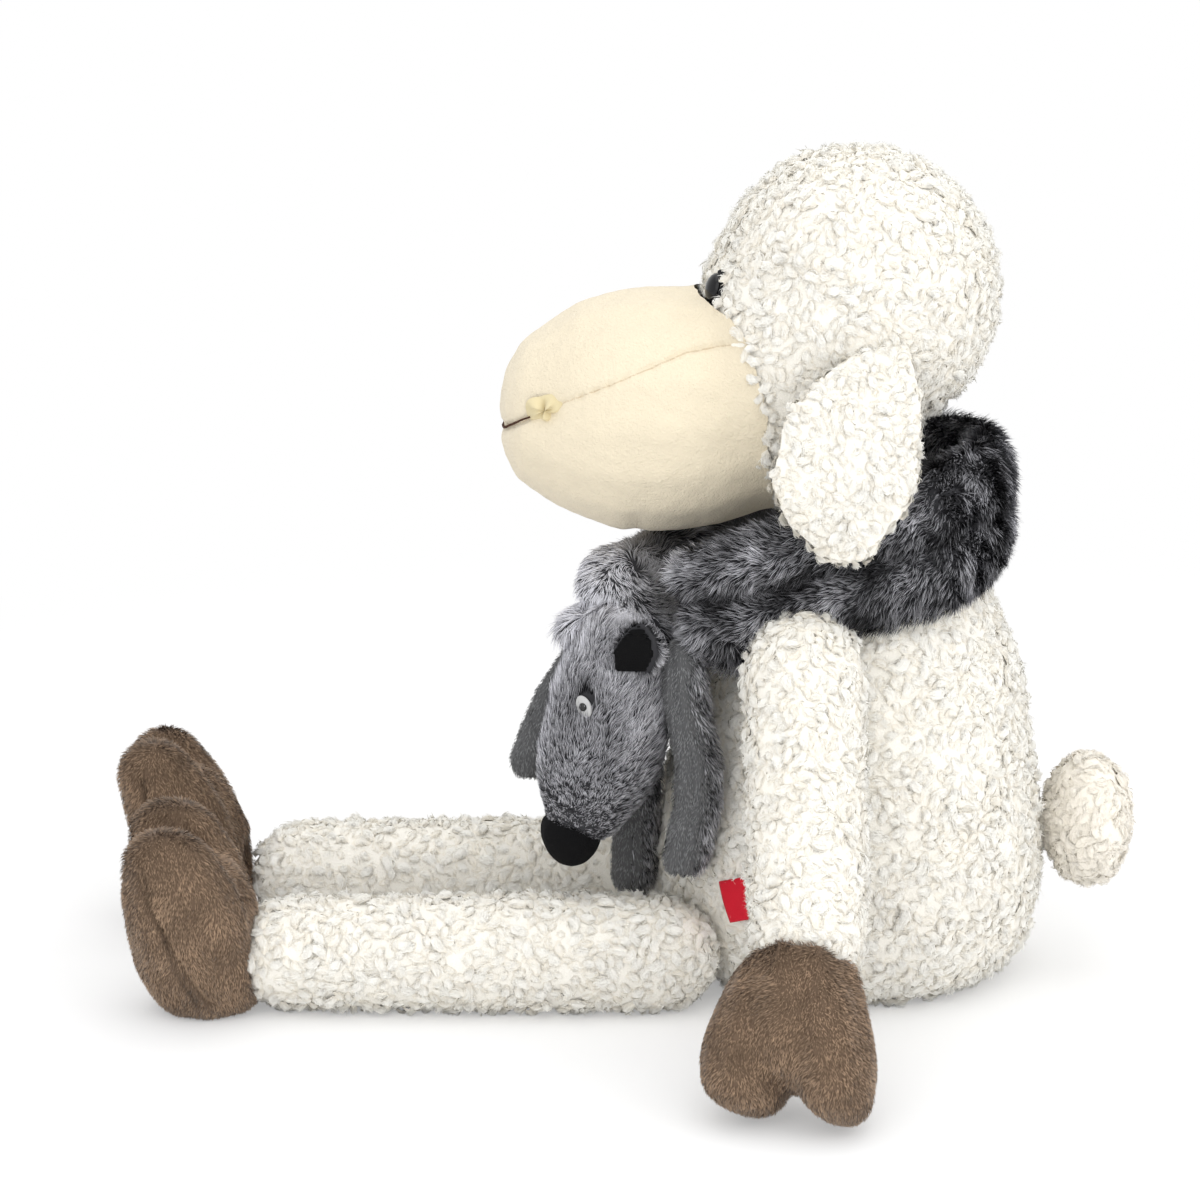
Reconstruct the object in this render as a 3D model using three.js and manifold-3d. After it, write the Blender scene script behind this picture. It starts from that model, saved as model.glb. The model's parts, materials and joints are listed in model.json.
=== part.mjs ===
// A seated long-legged plush sheep with a wolf-skin scarf, in millimetres, +Z up.
// The sheep faces -X. Its left side is towards -Y. The origin is the middle of the flat seat.
import * as THREE from "three";
import { mergeVertices } from "three/addons/utils/BufferGeometryUtils.js";
import Module from "manifold-3d";

const wasm = await Module();
wasm.setup();

// Clearances and cuts
const SEAM_GAP = 0.3; // between pieces that are sewn or laid together
const TURN_GAP = 0.5; // round a piece that turns in its socket
const FLAT_CUT = 0.5; // how deep a stuffed form is flattened by the floor
const OVERRUN = 6; // how far a cut runs past what it cuts
const PLUSH_WALL = 3; // pile fabric with its backing

// Torso
const TORSO_HEIGHT = 246;
const TORSO_DEPTH = 196;
const TORSO_WIDTH = 184;
const SEAT_ROUND = 3;
const TORSO_CROWN = 10;
const GRANULE_BAG_DEPTH = 120;
const GRANULE_BAG_WIDTH = 110;
const GRANULE_BAG_HEIGHT = 40;

// Neck and head
const NECK_RADIUS = 24;
const NECK_BASE_RADIUS = 29;
const NECK_BASE_DEPTH = 30;
const NECK_BALL_RADIUS = 27;
const NECK_BALL_RISE = 34; // from the top of the torso to the ball's centre
const NECK_SINK = 3; // how far the ball's centre lies inside the head
const HEAD_DEPTH = 142;
const HEAD_WIDTH = 142;
const HEAD_HEIGHT = 144;

// Muzzle
const MUZZLE_HEIGHT = 122;
const MUZZLE_WIDTH = 118;
const MUZZLE_LENGTH = 120; // from the tip to the wool seam, along the axis
const MUZZLE_DROP = 59; // from the middle of the head down to the muzzle's axis
const MUZZLE_TIP = 21;
const MUZZLE_BACK = 12;
const WOOL_STEP = 3; // how far the wool stands over the muzzle at the seam
const MUZZLE_SEAM_LEAN_DEG = 18;
const STITCH_RADIUS = 1;
const TUCK_LENGTH = 15;
const TUCK_HEIGHT = 9;
const TUCK_THICKNESS = 4;
const TUCK_TURN_DEG = 40;

// Eyes
const EYE_RADIUS = 7.2;
const EYE_DOME = 5;
const EYE_SHANK_RADIUS = 2;
const EYE_SHANK_LENGTH = 15;
const EYE_SPACING = 46;
const EYE_RISE = 5; // above the middle of the head
const EYE_UP_DEG = 16;
const EYE_OUT_DEG = 13;
const BACKING_RADIUS = 9;
const BACKING_THICKNESS = 1.5;
const WASHER_RADIUS = 6.5;
const WASHER_THICKNESS = 1.6;
const WASHER_DEPTH = 6; // from the wool's surface to the washer

// Ears
const EAR_LENGTH = 100;
const EAR_WIDTH = 76;
const EAR_THICKNESS = 12;
const EAR_ROOT_RADIUS = 7;
const EAR_TIP = 9;
const EAR_LINING_THICKNESS = 2.6;

// Tail
const TAIL_DEPTH = 43;
const TAIL_WIDTH = 60;
const TAIL_HEIGHT = 68;
const TAIL_ROOT_RADIUS = 9;
const TAIL_ROOM = 2; // between the puff and the torso
const TAIL_ROOT_SINK = 4;

// Arms and hands
const ARM_RADIUS = 28;
const SHOULDER_RADIUS = 30;
const SHOULDER_SINK = 5;
const ARM_SPLAY_DEG = 41;
const ARM_LEAN_DEG = 1;
const HAND_SHIFT = 8; // forward of the sleeve
const WRIST_RADIUS = 27;
const HAND_LENGTH = 86;
const HAND_WIDTH = 84;
const HAND_THICKNESS = 62;
const HAND_TURN_DEG = 24;

// Legs and feet
const LEG_RADIUS = 28.5;
const LEG_LENGTH = 186; // from hip centre to ankle centre
const HIP_SPACING = 126;
const HIP_SINK = 7;
const ANKLE_RADIUS = 27;
const FOOT_LENGTH = 103;
const FOOT_WIDTH = 76;
const FOOT_THICKNESS = 69;
const FOOT_TILT_DEG = 6; // sideways, soles apart
const LEFT_FOOT_LEAN_DEG = 3; // toes forward
const RIGHT_FOOT_LEAN_DEG = 19;
const CUFF_SETBACK = 10; // from a wrist or ankle centre to the hoof's edge

// Side label
const LABEL_WIDTH = 18;
const LABEL_HEIGHT = 21;
const LABEL_THICKNESS = 0.8;
const LABEL_TILT_DEG = 8;

// Scarf
const SCARF_HEIGHT = 74;
const SCARF_THICKNESS = 26;
const SCARF_TIP = 9;
const SCARF_LINING_THICKNESS = 4;

// Wolf
const WOLF_HEAD_LENGTH = 97;
const WOLF_HEAD_DEPTH = 58;
const WOLF_HEAD_WIDTH = 56;
const WOLF_NECK_DEPTH = 60;
const WOLF_NECK_WIDTH = 40;
const WOLF_NECK_RADIUS = 19;
const WOLF_NECK_TWIST_DEG = 80;
const WOLF_HEAD_SWING_DEG = 20;
const WOLF_NOSE_DEPTH = 29;
const WOLF_NOSE_WIDTH = 31;
const WOLF_NOSE_HEIGHT = 26;
const WOLF_EAR_LENGTH = 30;
const WOLF_EAR_WIDTH = 27;
const WOLF_EAR_THICKNESS = 6;
const WOLF_EAR_TIP = 3;
const WOLF_EYE_LENGTH = 11;
const WOLF_EYE_WIDTH = 7;
const WOLF_EYE_THICKNESS = 1.2;
const WOLF_PUPIL_RADIUS = 1.8;
const WOLF_LEG_RADIUS = 11.5;

const DEG = Math.PI / 180;
const X = new THREE.Vector3(1, 0, 0);
const Y = new THREE.Vector3(0, 1, 0);
const Z = new THREE.Vector3(0, 0, 1);
const TIP_RINGS = 2;
const BALL_SIDES = 12;
const NECK_SIDES = 18;
const TAIL_SIDES = 14;
const SEARCH_STEPS = 24;

function vec(x, y, z) {
  return new THREE.Vector3(x, y, z);
}

// A closed geometry as a solid that can be joined and cut.
function solid(geometry) {
  const bare = geometry.index ? geometry.toNonIndexed() : geometry.clone();
  bare.deleteAttribute("normal");
  bare.deleteAttribute("uv");
  const merged = mergeVertices(bare);
  return new wasm.Manifold(
    new wasm.Mesh({
      numProp: 3,
      vertProperties: merged.attributes.position.array,
      triVerts: new Uint32Array(merged.index.array),
    }),
  );
}

// A solid as a three.js geometry with flat faces.
function geometryOf(piece) {
  const mesh = piece.getMesh();
  const corners = [];
  for (let i = 0; i < mesh.vertProperties.length; i += mesh.numProp)
    corners.push(...mesh.vertProperties.slice(i, i + 3));
  const indexed = new THREE.BufferGeometry();
  indexed.setAttribute("position", new THREE.Float32BufferAttribute(corners, 3));
  indexed.setIndex([...mesh.triVerts]);
  const flat = indexed.toNonIndexed();
  flat.computeVertexNormals();
  return flat;
}

// The centre, axes and half sizes of a stuffed form at a share of its line.
function sectionAt(form, share) {
  const line = new THREE.CatmullRomCurve3(form.line);
  const halves = new THREE.CatmullRomCurve3(form.halves.map(([a, b]) => vec(a, b, 0)));
  const up = form.ups ? new THREE.CatmullRomCurve3(form.ups).getPoint(share) : form.up;
  const centre = line.getPoint(share);
  const ahead = line.getTangent(share);
  const across = up.clone().cross(ahead).normalize();
  const along = ahead.clone().cross(across);
  const half = halves.getPoint(share);
  return { centre, ahead, across, along, half };
}

// A point on the skin of a stuffed form, moved out by a margin.
function skinPoint(form, share, turn, out = 0) {
  const { centre, across, along, half } = sectionAt(form, share);
  return centre
    .addScaledVector(across, (half.x + out) * Math.cos(turn))
    .addScaledVector(along, (half.y + out) * Math.sin(turn));
}

// The outward direction of the skin there.
function skinNormal(form, share, turn) {
  const step = 0.01;
  const low = Math.max(share - step, 0);
  const high = Math.min(share + step, 1);
  const lengthwise = skinPoint(form, high, turn).sub(skinPoint(form, low, turn));
  const around = skinPoint(form, share, turn + step).sub(skinPoint(form, share, turn - step));
  return around.cross(lengthwise).normalize();
}

// The rings of a stuffed form: rounded tip, body, rounded tip.
function ringsOf(form, grow) {
  const rings = [];
  for (let i = TIP_RINGS; i > 0; i--) rings.push(tipRing(form, 0, i, grow));
  for (let i = 0; i <= form.rings; i++) {
    const section = sectionAt(form, i / form.rings);
    rings.push({ ...section, scale: 1 });
  }
  for (let i = 1; i <= TIP_RINGS; i++) rings.push(tipRing(form, 1, i, grow));
  return rings;
}

function tipRing(form, end, i, grow) {
  const section = sectionAt(form, end);
  const angle = ((i / (TIP_RINGS + 1)) * Math.PI) / 2;
  const reach = (form.tips[end] + grow) * Math.sin(angle) * (end ? 1 : -1);
  section.centre.addScaledVector(section.ahead, reach);
  return { ...section, scale: Math.cos(angle) };
}

function tipPoint(form, end, grow) {
  const section = sectionAt(form, end);
  return section.centre.addScaledVector(section.ahead, (form.tips[end] + grow) * (end ? 1 : -1));
}

// A stuffed form: rings of points round a smooth line, closed by a rounded tip at each end.
function stuffedGeometry(form, grow = 0) {
  const rings = ringsOf(form, grow);
  const corners = [tipPoint(form, 0, grow)];
  for (const { centre, across, along, half, scale } of rings)
    for (let i = 0; i < form.sides; i++) {
      const turn = (i / form.sides) * 2 * Math.PI;
      corners.push(
        centre
          .clone()
          .addScaledVector(across, (half.x + grow) * scale * Math.cos(turn))
          .addScaledVector(along, (half.y + grow) * scale * Math.sin(turn)),
      );
    }
  corners.push(tipPoint(form, 1, grow));
  return closedSkin(corners, rings.length, form.sides);
}

// Faces between rings of corners, with the first and last corner as the two tips.
function closedSkin(corners, rings, sides) {
  const at = (ring, i) => 1 + ring * sides + (i % sides);
  const faces = [];
  for (let i = 0; i < sides; i++) {
    faces.push(0, at(0, i + 1), at(0, i));
    for (let ring = 0; ring < rings - 1; ring++) {
      faces.push(at(ring, i), at(ring, i + 1), at(ring + 1, i));
      faces.push(at(ring, i + 1), at(ring + 1, i + 1), at(ring + 1, i));
    }
    faces.push(corners.length - 1, at(rings - 1, i), at(rings - 1, i + 1));
  }
  const geometry = new THREE.BufferGeometry().setFromPoints(corners);
  geometry.setIndex(faces);
  return geometry;
}

function stuffed(form, grow = 0) {
  return solid(stuffedGeometry(form, grow));
}

// The largest body of a piece, without the crumbs that a shallow cut leaves.
function largest(piece) {
  const bodies = piece.decompose();
  return bodies.reduce((best, body) => (body.volume() > best.volume() ? body : best));
}

// A faceted ball that holds a true ball of the given radius.
function socketBall(centre, radius) {
  const out = radius / Math.cos(Math.PI / BALL_SIDES) ** 2;
  const ball = new THREE.SphereGeometry(out, BALL_SIDES, BALL_SIDES / 2);
  return solid(ball.translate(centre.x, centre.y, centre.z));
}

// An ellipsoid by its full sizes.
function pad(centre, depth, width, height, sides = BALL_SIDES) {
  const ball = new THREE.SphereGeometry(1, sides, sides / 2);
  ball.scale(depth / 2, width / 2, height / 2);
  return solid(ball.translate(centre.x, centre.y, centre.z));
}

// A block between two corners.
function block(low, high) {
  const size = high.clone().sub(low);
  const box = new THREE.BoxGeometry(size.x, size.y, size.z);
  const middle = low.clone().add(high).divideScalar(2);
  return solid(box.translate(middle.x, middle.y, middle.z));
}

// A profile of radii and heights turned about a direction through a point.
function turned(profile, centre, direction, sides = BALL_SIDES) {
  const shape = profile.map(([radius, height]) => new THREE.Vector2(radius, height));
  const lathe = new THREE.LatheGeometry(shape, sides);
  lathe.applyQuaternion(new THREE.Quaternion().setFromUnitVectors(Y, direction));
  return solid(lathe.translate(centre.x, centre.y, centre.z));
}

// How far a piece can come nearer to another one before only the seam gap is left.
function spareGap(piece, other) {
  return piece.minGap(other, TORSO_HEIGHT) - SEAM_GAP;
}

// A piece moved against a direction until it lies on another one.
function settled(piece, other, outward) {
  const { x, y, z } = outward.clone().multiplyScalar(-spareGap(piece, other));
  return piece.translate([x, y, z]);
}

// What lies under the floor is cut away from a form that rests on it.
function flattened(piece) {
  const reach = TORSO_DEPTH + LEG_LENGTH + FOOT_LENGTH + TORSO_HEIGHT;
  return piece.subtract(block(vec(-reach, -reach, -OVERRUN), vec(reach, reach, 0)));
}

// Height, depth, width and lean of each level of the torso, as shares of its sizes
const torsoLevelShares = [
  [0.041, 0.87, 0.86, -0.03],
  [0.089, 0.95, 0.94, -0.028],
  [0.183, 1, 0.99, -0.024],
  [0.305, 1, 1, -0.02],
  [0.427, 0.955, 0.957, -0.006],
  [0.549, 0.868, 0.89, 0.008],
  [0.654, 0.79, 0.815, 0.008],
  [0.752, 0.705, 0.717, 0.002],
  [0.833, 0.608, 0.62, -0.01],
  [0.902, 0.49, 0.51, -0.02],
  [0.955, 0.37, 0.39, -0.025],
];
const seatShares = [0.74, 0.73, -0.03];

function torsoForm(rings, sides) {
  const [seatDepth, seatWidth, seatLean] = seatShares;
  const line = [vec(seatLean * TORSO_DEPTH, 0, SEAT_ROUND - FLAT_CUT)];
  const halves = [[(seatWidth * TORSO_WIDTH) / 2, (seatDepth * TORSO_DEPTH) / 2]];
  for (const [height, depth, width, lean] of torsoLevelShares) {
    line.push(vec(lean * TORSO_DEPTH, 0, height * TORSO_HEIGHT));
    halves.push([(width * TORSO_WIDTH) / 2, (depth * TORSO_DEPTH) / 2]);
  }
  const tips = [SEAT_ROUND, TORSO_CROWN];
  return { line, halves, up: X, tips, rings, sides };
}

const torso = torsoForm(10, 18);
const torsoInside = torsoForm(7, 12);
const torsoTop = tipPoint(torso, 1, 0).z;
const neckX = torso.line.at(-1).x;

// The share of the torso's line at a share of its height.
function torsoShareAt(heightShare) {
  let low = 0;
  let high = 1;
  for (let i = 0; i < SEARCH_STEPS; i++) {
    const middle = (low + high) / 2;
    if (sectionAt(torso, middle).centre.z < heightShare * TORSO_HEIGHT) low = middle;
    else high = middle;
  }
  return low;
}

// A socket centre that stands out of the torso's skin, and the skin's own point and direction.
// The bearing is counted from the front, towards the side (-1 is left, 1 is right).
function torsoSeat(heightShare, bearing, side, stand) {
  const share = torsoShareAt(heightShare);
  const turn = -Math.PI / 2 - side * bearing;
  const point = skinPoint(torso, share, turn);
  const outward = skinNormal(torso, share, turn);
  return { point, outward, centre: point.clone().addScaledVector(outward, stand) };
}

const shoulderHeightShare = 0.69;
const SHOULDER_BEARING_DEG = 70;
const tailHeightShare = 0.345;
const LABEL_BEARING_DEG = 53;
const labelHeightShare = 0.24;

function shoulderCentre(side) {
  const stand = SHOULDER_RADIUS - SHOULDER_SINK;
  return torsoSeat(shoulderHeightShare, SHOULDER_BEARING_DEG * DEG, side, stand).centre;
}

// The hip ball rests on the floor and is sunk into the torso's lower front.
function hipCentre(side) {
  const height = LEG_RADIUS - FLAT_CUT;
  const reach = LEG_RADIUS - HIP_SINK;
  const y = (side * HIP_SPACING) / 2;
  const near = (bearing) => torsoSeat(height / TORSO_HEIGHT, bearing, side, reach).centre;
  let low = 0;
  let high = Math.PI / 2;
  for (let i = 0; i < SEARCH_STEPS; i++) {
    const middle = (low + high) / 2;
    if (Math.abs(near(middle).y) < Math.abs(y)) low = middle;
    else high = middle;
  }
  return vec(near(low).x, y, height);
}

const neckCentre = vec(neckX, 0, torsoTop + NECK_BALL_RISE);
const headCentre = vec(neckX, 0, neckCentre.z - NECK_SINK + HEAD_HEIGHT / 2);

function tailRootCentre() {
  const seat = torsoSeat(tailHeightShare, Math.PI, 1, TAIL_ROOT_RADIUS - TAIL_ROOT_SINK);
  return seat;
}

// The torso at an inward offset, with its sockets kept clear.
function torsoSolid(inset) {
  const room = TURN_GAP + inset;
  let piece = flattenedTorso(inset);
  for (const side of [-1, 1]) {
    piece = piece.subtract(socketBall(shoulderCentre(side), SHOULDER_RADIUS + room));
    piece = piece.subtract(socketBall(hipCentre(side), LEG_RADIUS + room));
  }
  piece = piece.subtract(socketBall(tailRootCentre().centre, TAIL_ROOT_RADIUS + room));
  return piece;
}

function flattenedTorso(inset) {
  const reach = TORSO_DEPTH + TORSO_WIDTH;
  const below = block(vec(-reach, -reach, -OVERRUN - SEAT_ROUND), vec(reach, reach, inset));
  return stuffed(inset > 0 ? torsoInside : torso, -inset).subtract(below);
}

function neckProfile(gap) {
  const base = torsoTop - NECK_BASE_DEPTH - gap;
  const rise = neckCentre.z - base;
  const ball = NECK_BALL_RADIUS + gap;
  const start = Math.asin(Math.min((NECK_RADIUS + gap) / ball, 1));
  const profile = [
    [0, -rise],
    [NECK_BASE_RADIUS + gap, -rise],
    [NECK_BASE_RADIUS + gap, -NECK_BALL_RISE - gap],
    [NECK_RADIUS + gap, -NECK_BALL_RISE + (NECK_BASE_RADIUS - NECK_RADIUS)],
  ];
  const steps = 5;
  for (let i = 0; i <= steps; i++) {
    const angle = Math.PI - start - ((Math.PI - start) * i) / steps;
    profile.push([i === steps ? 0 : ball * Math.sin(angle), ball * Math.cos(angle)]);
  }
  return profile;
}

function neckSolid(gap = 0) {
  return turned(neckProfile(gap), neckCentre, Z, NECK_SIDES);
}

// The bore that the neck's base turns in, open at the top of the torso.
function neckBore(gap) {
  const radius = (NECK_BASE_RADIUS + gap) / Math.cos(Math.PI / NECK_SIDES);
  const depth = NECK_BASE_DEPTH + gap;
  const profile = [
    [0, -depth],
    [radius, -depth],
    [radius, OVERRUN],
    [0, OVERRUN],
  ];
  return turned(profile, vec(neckX, 0, torsoTop), Z, NECK_SIDES);
}

function granuleBag(grow) {
  const centre = vec(torso.line[1].x, 0, PLUSH_WALL + SEAM_GAP + GRANULE_BAG_HEIGHT / 4);
  const depth = GRANULE_BAG_DEPTH + 2 * grow;
  const width = GRANULE_BAG_WIDTH + 2 * grow;
  return pad(centre, depth, width, GRANULE_BAG_HEIGHT + 2 * grow, 14);
}

function torsoPieces() {
  const filled = torsoSolid(PLUSH_WALL + SEAM_GAP);
  const cover = torsoSolid(0).subtract(torsoSolid(PLUSH_WALL)).subtract(neckBore(TURN_GAP));
  const stuffing = filled.subtract(neckBore(TURN_GAP)).subtract(granuleBag(SEAM_GAP));
  const bag = granuleBag(0).intersect(filled);
  return { cover, stuffing, bag };
}

// The head is a ball with a jaw behind the muzzle. The seam plane parts wool and muzzle.
const muzzleAxisZ = headCentre.z - MUZZLE_DROP;
const muzzleSeamShare = 0.77; // of the head's half depth
const seamX = headCentre.x - (muzzleSeamShare * HEAD_DEPTH) / 2;
const muzzleTipX = seamX - MUZZLE_LENGTH;

// Distance from the tip, height, width and rise of each muzzle level, as shares of its sizes
const muzzleLevelShares = [
  [1.12, 0.84, 0.84, 0.05],
  [0.98, 0.92, 0.92, 0.035],
  [0.79, 0.985, 0.985, 0.012],
  [0.58, 1, 1, 0],
  [0.38, 0.91, 0.91, 0],
  [0.26, 0.79, 0.78, -0.004],
];

function muzzleForm() {
  const line = [];
  const halves = [];
  for (const [back, height, width, rise] of muzzleLevelShares) {
    const x = muzzleTipX + back * MUZZLE_LENGTH;
    line.push(vec(x, 0, muzzleAxisZ + rise * MUZZLE_HEIGHT));
    halves.push([(width * MUZZLE_WIDTH) / 2, (height * MUZZLE_HEIGHT) / 2]);
  }
  line.push(vec(muzzleTipX + MUZZLE_TIP, 0, muzzleAxisZ));
  const tipShare = 0.65;
  halves.push([(tipShare * MUZZLE_WIDTH) / 2, (tipShare * MUZZLE_HEIGHT) / 2]);
  return { line, halves, up: Z, tips: [MUZZLE_BACK, MUZZLE_TIP], rings: 7, sides: 16 };
}

const muzzle = muzzleForm();

// Everything behind the leaning seam plane, or in front of it.
function seamBlock(behind, gap) {
  const reach = HEAD_DEPTH + MUZZLE_LENGTH;
  const box = new THREE.BoxGeometry(reach, reach, 2 * reach);
  box.translate((behind ? 1 : -1) * (reach / 2 + gap), 0, 0);
  box.rotateY(-MUZZLE_SEAM_LEAN_DEG * DEG);
  return solid(box.translate(seamX, 0, muzzleAxisZ));
}

function headForm(inset) {
  const ball = pad(
    headCentre,
    HEAD_DEPTH - 2 * inset,
    HEAD_WIDTH - 2 * inset,
    HEAD_HEIGHT - 2 * inset,
    inset > 0 ? 12 : 18,
  );
  return ball.add(stuffed(muzzle, WOOL_STEP - inset));
}

function headSockets(piece, room) {
  return piece.subtract(socketBall(neckCentre, NECK_BALL_RADIUS + room));
}

function headPieces() {
  const outer = headForm(0).intersect(seamBlock(true, 0));
  const cover = headSockets(outer.subtract(headForm(PLUSH_WALL)), TURN_GAP);
  const filling = headForm(PLUSH_WALL + SEAM_GAP).intersect(seamBlock(true, 0));
  return { cover, stuffing: headSockets(filling, TURN_GAP) };
}

// The cheek seam, from the mouth at the tip up and back to the wool, as shares of the
// muzzle's length from the tip and of its height above the axis
const cheekSeamShares = [
  [-0.1, -0.05],
  [0.03, -0.04],
  [0.12, 0.02],
  [0.26, 0.095],
  [0.5, 0.2],
  [0.75, 0.3],
  [1.3, 0.4],
];

function cheekSeamPoints() {
  return cheekSeamShares.map(([back, rise]) => ({
    x: muzzleTipX + back * MUZZLE_LENGTH,
    z: muzzleAxisZ + rise * MUZZLE_HEIGHT,
  }));
}

// All that lies under the cheek seam, lowered or raised by a gap.
function underSeam(gap) {
  const points = cheekSeamPoints();
  const floor = muzzleAxisZ - MUZZLE_HEIGHT;
  const shape = new THREE.Shape();
  shape.moveTo(points[0].x, floor);
  for (const { x, z } of points) shape.lineTo(x, z + gap);
  shape.lineTo(points.at(-1).x, floor);
  const slab = new THREE.ExtrudeGeometry(shape, {
    depth: 2 * MUZZLE_WIDTH,
    bevelEnabled: false,
  });
  slab.translate(0, 0, -MUZZLE_WIDTH);
  slab.rotateX(Math.PI / 2);
  return solid(slab);
}

function muzzlePieces() {
  const whole = stuffed(muzzle).intersect(seamBlock(false, SEAM_GAP));
  const lower = whole.intersect(underSeam(-SEAM_GAP / 2));
  const upper = whole.subtract(underSeam(SEAM_GAP / 2));
  return { upper, lower };
}

// A point on the muzzle's skin by its place from the tip and its height, on one side.
function muzzlePoint(backShare, riseShare, side, out) {
  const x = muzzleTipX + backShare * MUZZLE_LENGTH;
  let low = 0;
  let high = 1;
  for (let i = 0; i < SEARCH_STEPS; i++) {
    const middle = (low + high) / 2;
    if (sectionAt(muzzle, middle).centre.x > x) low = middle;
    else high = middle;
  }
  const { centre, half } = sectionAt(muzzle, low);
  const rise = muzzleAxisZ + riseShare * MUZZLE_HEIGHT - centre.z;
  const width = half.x * Math.sqrt(Math.max(0, 1 - (rise / half.y) ** 2));
  return vec(x, side * (width + out), centre.z + rise);
}

// Height of the mouth's middle and corners on the tip, and how far round it the mouth goes
const mouthMiddleShare = -0.2;
const mouthCornerShare = 0.12;
const mouthSpreadShare = 0.8;

// The stitched mouth lies on the muzzle's rounded tip, from corner to corner.
function mouthStitch() {
  const points = [];
  const steps = 10;
  for (let i = 0; i <= steps; i++) {
    const turn = (i / steps - 1 / 2) * Math.PI * mouthSpreadShare;
    points.push(mouthPoint(turn));
  }
  const path = new THREE.CatmullRomCurve3(points);
  const section = new THREE.Shape();
  section.absarc(0, 0, STITCH_RADIUS, 0, 2 * Math.PI);
  const thread = new THREE.ExtrudeGeometry(section, {
    extrudePath: path,
    steps: 16,
    curveSegments: 3,
    bevelEnabled: false,
  });
  return solid(thread);
}

// A point just off the rounded tip. The mouth rises from its middle to its corners.
function mouthPoint(turn) {
  const { centre, half } = sectionAt(muzzle, 1);
  const riseShare = mouthMiddleShare + (mouthCornerShare - mouthMiddleShare) * Math.sin(turn) ** 2;
  const level = Math.sqrt(1 - riseShare ** 2);
  const off = STITCH_RADIUS + SEAM_GAP;
  return vec(
    centre.x - (MUZZLE_TIP * level + off) * Math.cos(turn),
    (half.x * level + off) * Math.sin(turn),
    centre.z + riseShare * half.y,
  );
}

// Place from the tip and height of each gathered tuck, as shares of the muzzle
const tuckBackShare = 0.19;
const tuckRiseShare = 0.06;

function mouthTuck(side) {
  const seat = muzzlePoint(tuckBackShare, tuckRiseShare, side, 0);
  const tuck = new THREE.SphereGeometry(1, 12, 8);
  tuck.scale(TUCK_LENGTH / 2, TUCK_THICKNESS / 2, TUCK_HEIGHT / 2);
  tuck.rotateZ(side * TUCK_TURN_DEG * DEG);
  tuck.translate(seat.x, seat.y, seat.z);
  return solid(tuck).subtract(stuffed(muzzle, SEAM_GAP));
}

// Eyes look forward, a little up and a little outward.
function eyeDirection(side) {
  const raised = EYE_UP_DEG * DEG;
  const turn = EYE_OUT_DEG * DEG;
  const level = Math.cos(raised);
  return vec(-level * Math.cos(turn), side * level * Math.sin(turn), Math.sin(raised));
}

function eyeSeat(side) {
  const y = EYE_SPACING / 2 / (HEAD_WIDTH / 2);
  const z = EYE_RISE / (HEAD_HEIGHT / 2);
  const x = Math.sqrt(1 - y * y - z * z);
  return vec(
    headCentre.x - (x * HEAD_DEPTH) / 2,
    (side * EYE_SPACING) / 2,
    headCentre.z + EYE_RISE,
  );
}

// The disc stands just clear of the curved wool under it.
function backingBase(side) {
  const sag = (BACKING_RADIUS * BACKING_RADIUS) / HEAD_DEPTH;
  return eyeSeat(side).addScaledVector(eyeDirection(side), sag + SEAM_GAP);
}

function eyeBacking(side) {
  const profile = [
    [0, 0],
    [BACKING_RADIUS, 0],
    [BACKING_RADIUS, BACKING_THICKNESS],
    [0, BACKING_THICKNESS],
  ];
  const disc = turned(profile, backingBase(side), eyeDirection(side));
  return disc.subtract(eyeShank(side, SEAM_GAP));
}

// The shank runs back from the dome through backing, wool and washer.
function eyeShank(side, gap) {
  const radius = EYE_SHANK_RADIUS + gap;
  const profile = [
    [0, -EYE_SHANK_LENGTH - gap],
    [radius, -EYE_SHANK_LENGTH - gap],
    [radius, BACKING_THICKNESS + OVERRUN / 2],
    [0, BACKING_THICKNESS + OVERRUN / 2],
  ];
  return turned(profile, backingBase(side), eyeDirection(side), 10);
}

function eyeSolid(side) {
  const base = BACKING_THICKNESS + SEAM_GAP;
  const profile = [
    [0, -EYE_SHANK_LENGTH],
    [EYE_SHANK_RADIUS, -EYE_SHANK_LENGTH],
    [EYE_SHANK_RADIUS, base],
    [EYE_RADIUS, base],
  ];
  const steps = 5;
  for (let i = 1; i <= steps; i++) {
    const angle = ((i / steps) * Math.PI) / 2;
    const radius = i === steps ? 0 : EYE_RADIUS * Math.cos(angle);
    profile.push([radius, base + EYE_DOME * Math.sin(angle)]);
  }
  return turned(profile, backingBase(side), eyeDirection(side));
}

function eyeWasher(side, grow = 0) {
  const top = -WASHER_DEPTH;
  const profile = [
    [0, top - WASHER_THICKNESS - grow],
    [WASHER_RADIUS + grow, top - WASHER_THICKNESS - grow],
    [WASHER_RADIUS + grow, top + grow],
    [0, top + grow],
  ];
  const disc = turned(profile, backingBase(side), eyeDirection(side));
  return grow ? disc : disc.subtract(eyeShank(side, SEAM_GAP));
}

// The clear space over the wool that the eye and its backing sit in.
function eyeRoom(side) {
  const radius = BACKING_RADIUS + SEAM_GAP;
  const profile = [
    [0, -SEAM_GAP],
    [radius, -SEAM_GAP],
    [radius, BACKING_THICKNESS + EYE_DOME + OVERRUN],
    [0, BACKING_THICKNESS + EYE_DOME + OVERRUN],
  ];
  return turned(profile, backingBase(side), eyeDirection(side));
}

// Room for both eyes, their shanks and their washers.
function boredForEyes(piece) {
  let bored = piece;
  for (const side of [-1, 1]) {
    bored = bored.subtract(eyeShank(side, SEAM_GAP));
    bored = bored.subtract(eyeWasher(side, SEAM_GAP));
    bored = bored.subtract(eyeRoom(side));
  }
  return largest(bored);
}

// Ears hang from balls that lie against the side of the head.
const EAR_ROOT_BACK_DEG = 12;
const EAR_ROOT_DROP_DEG = 10;

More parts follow.
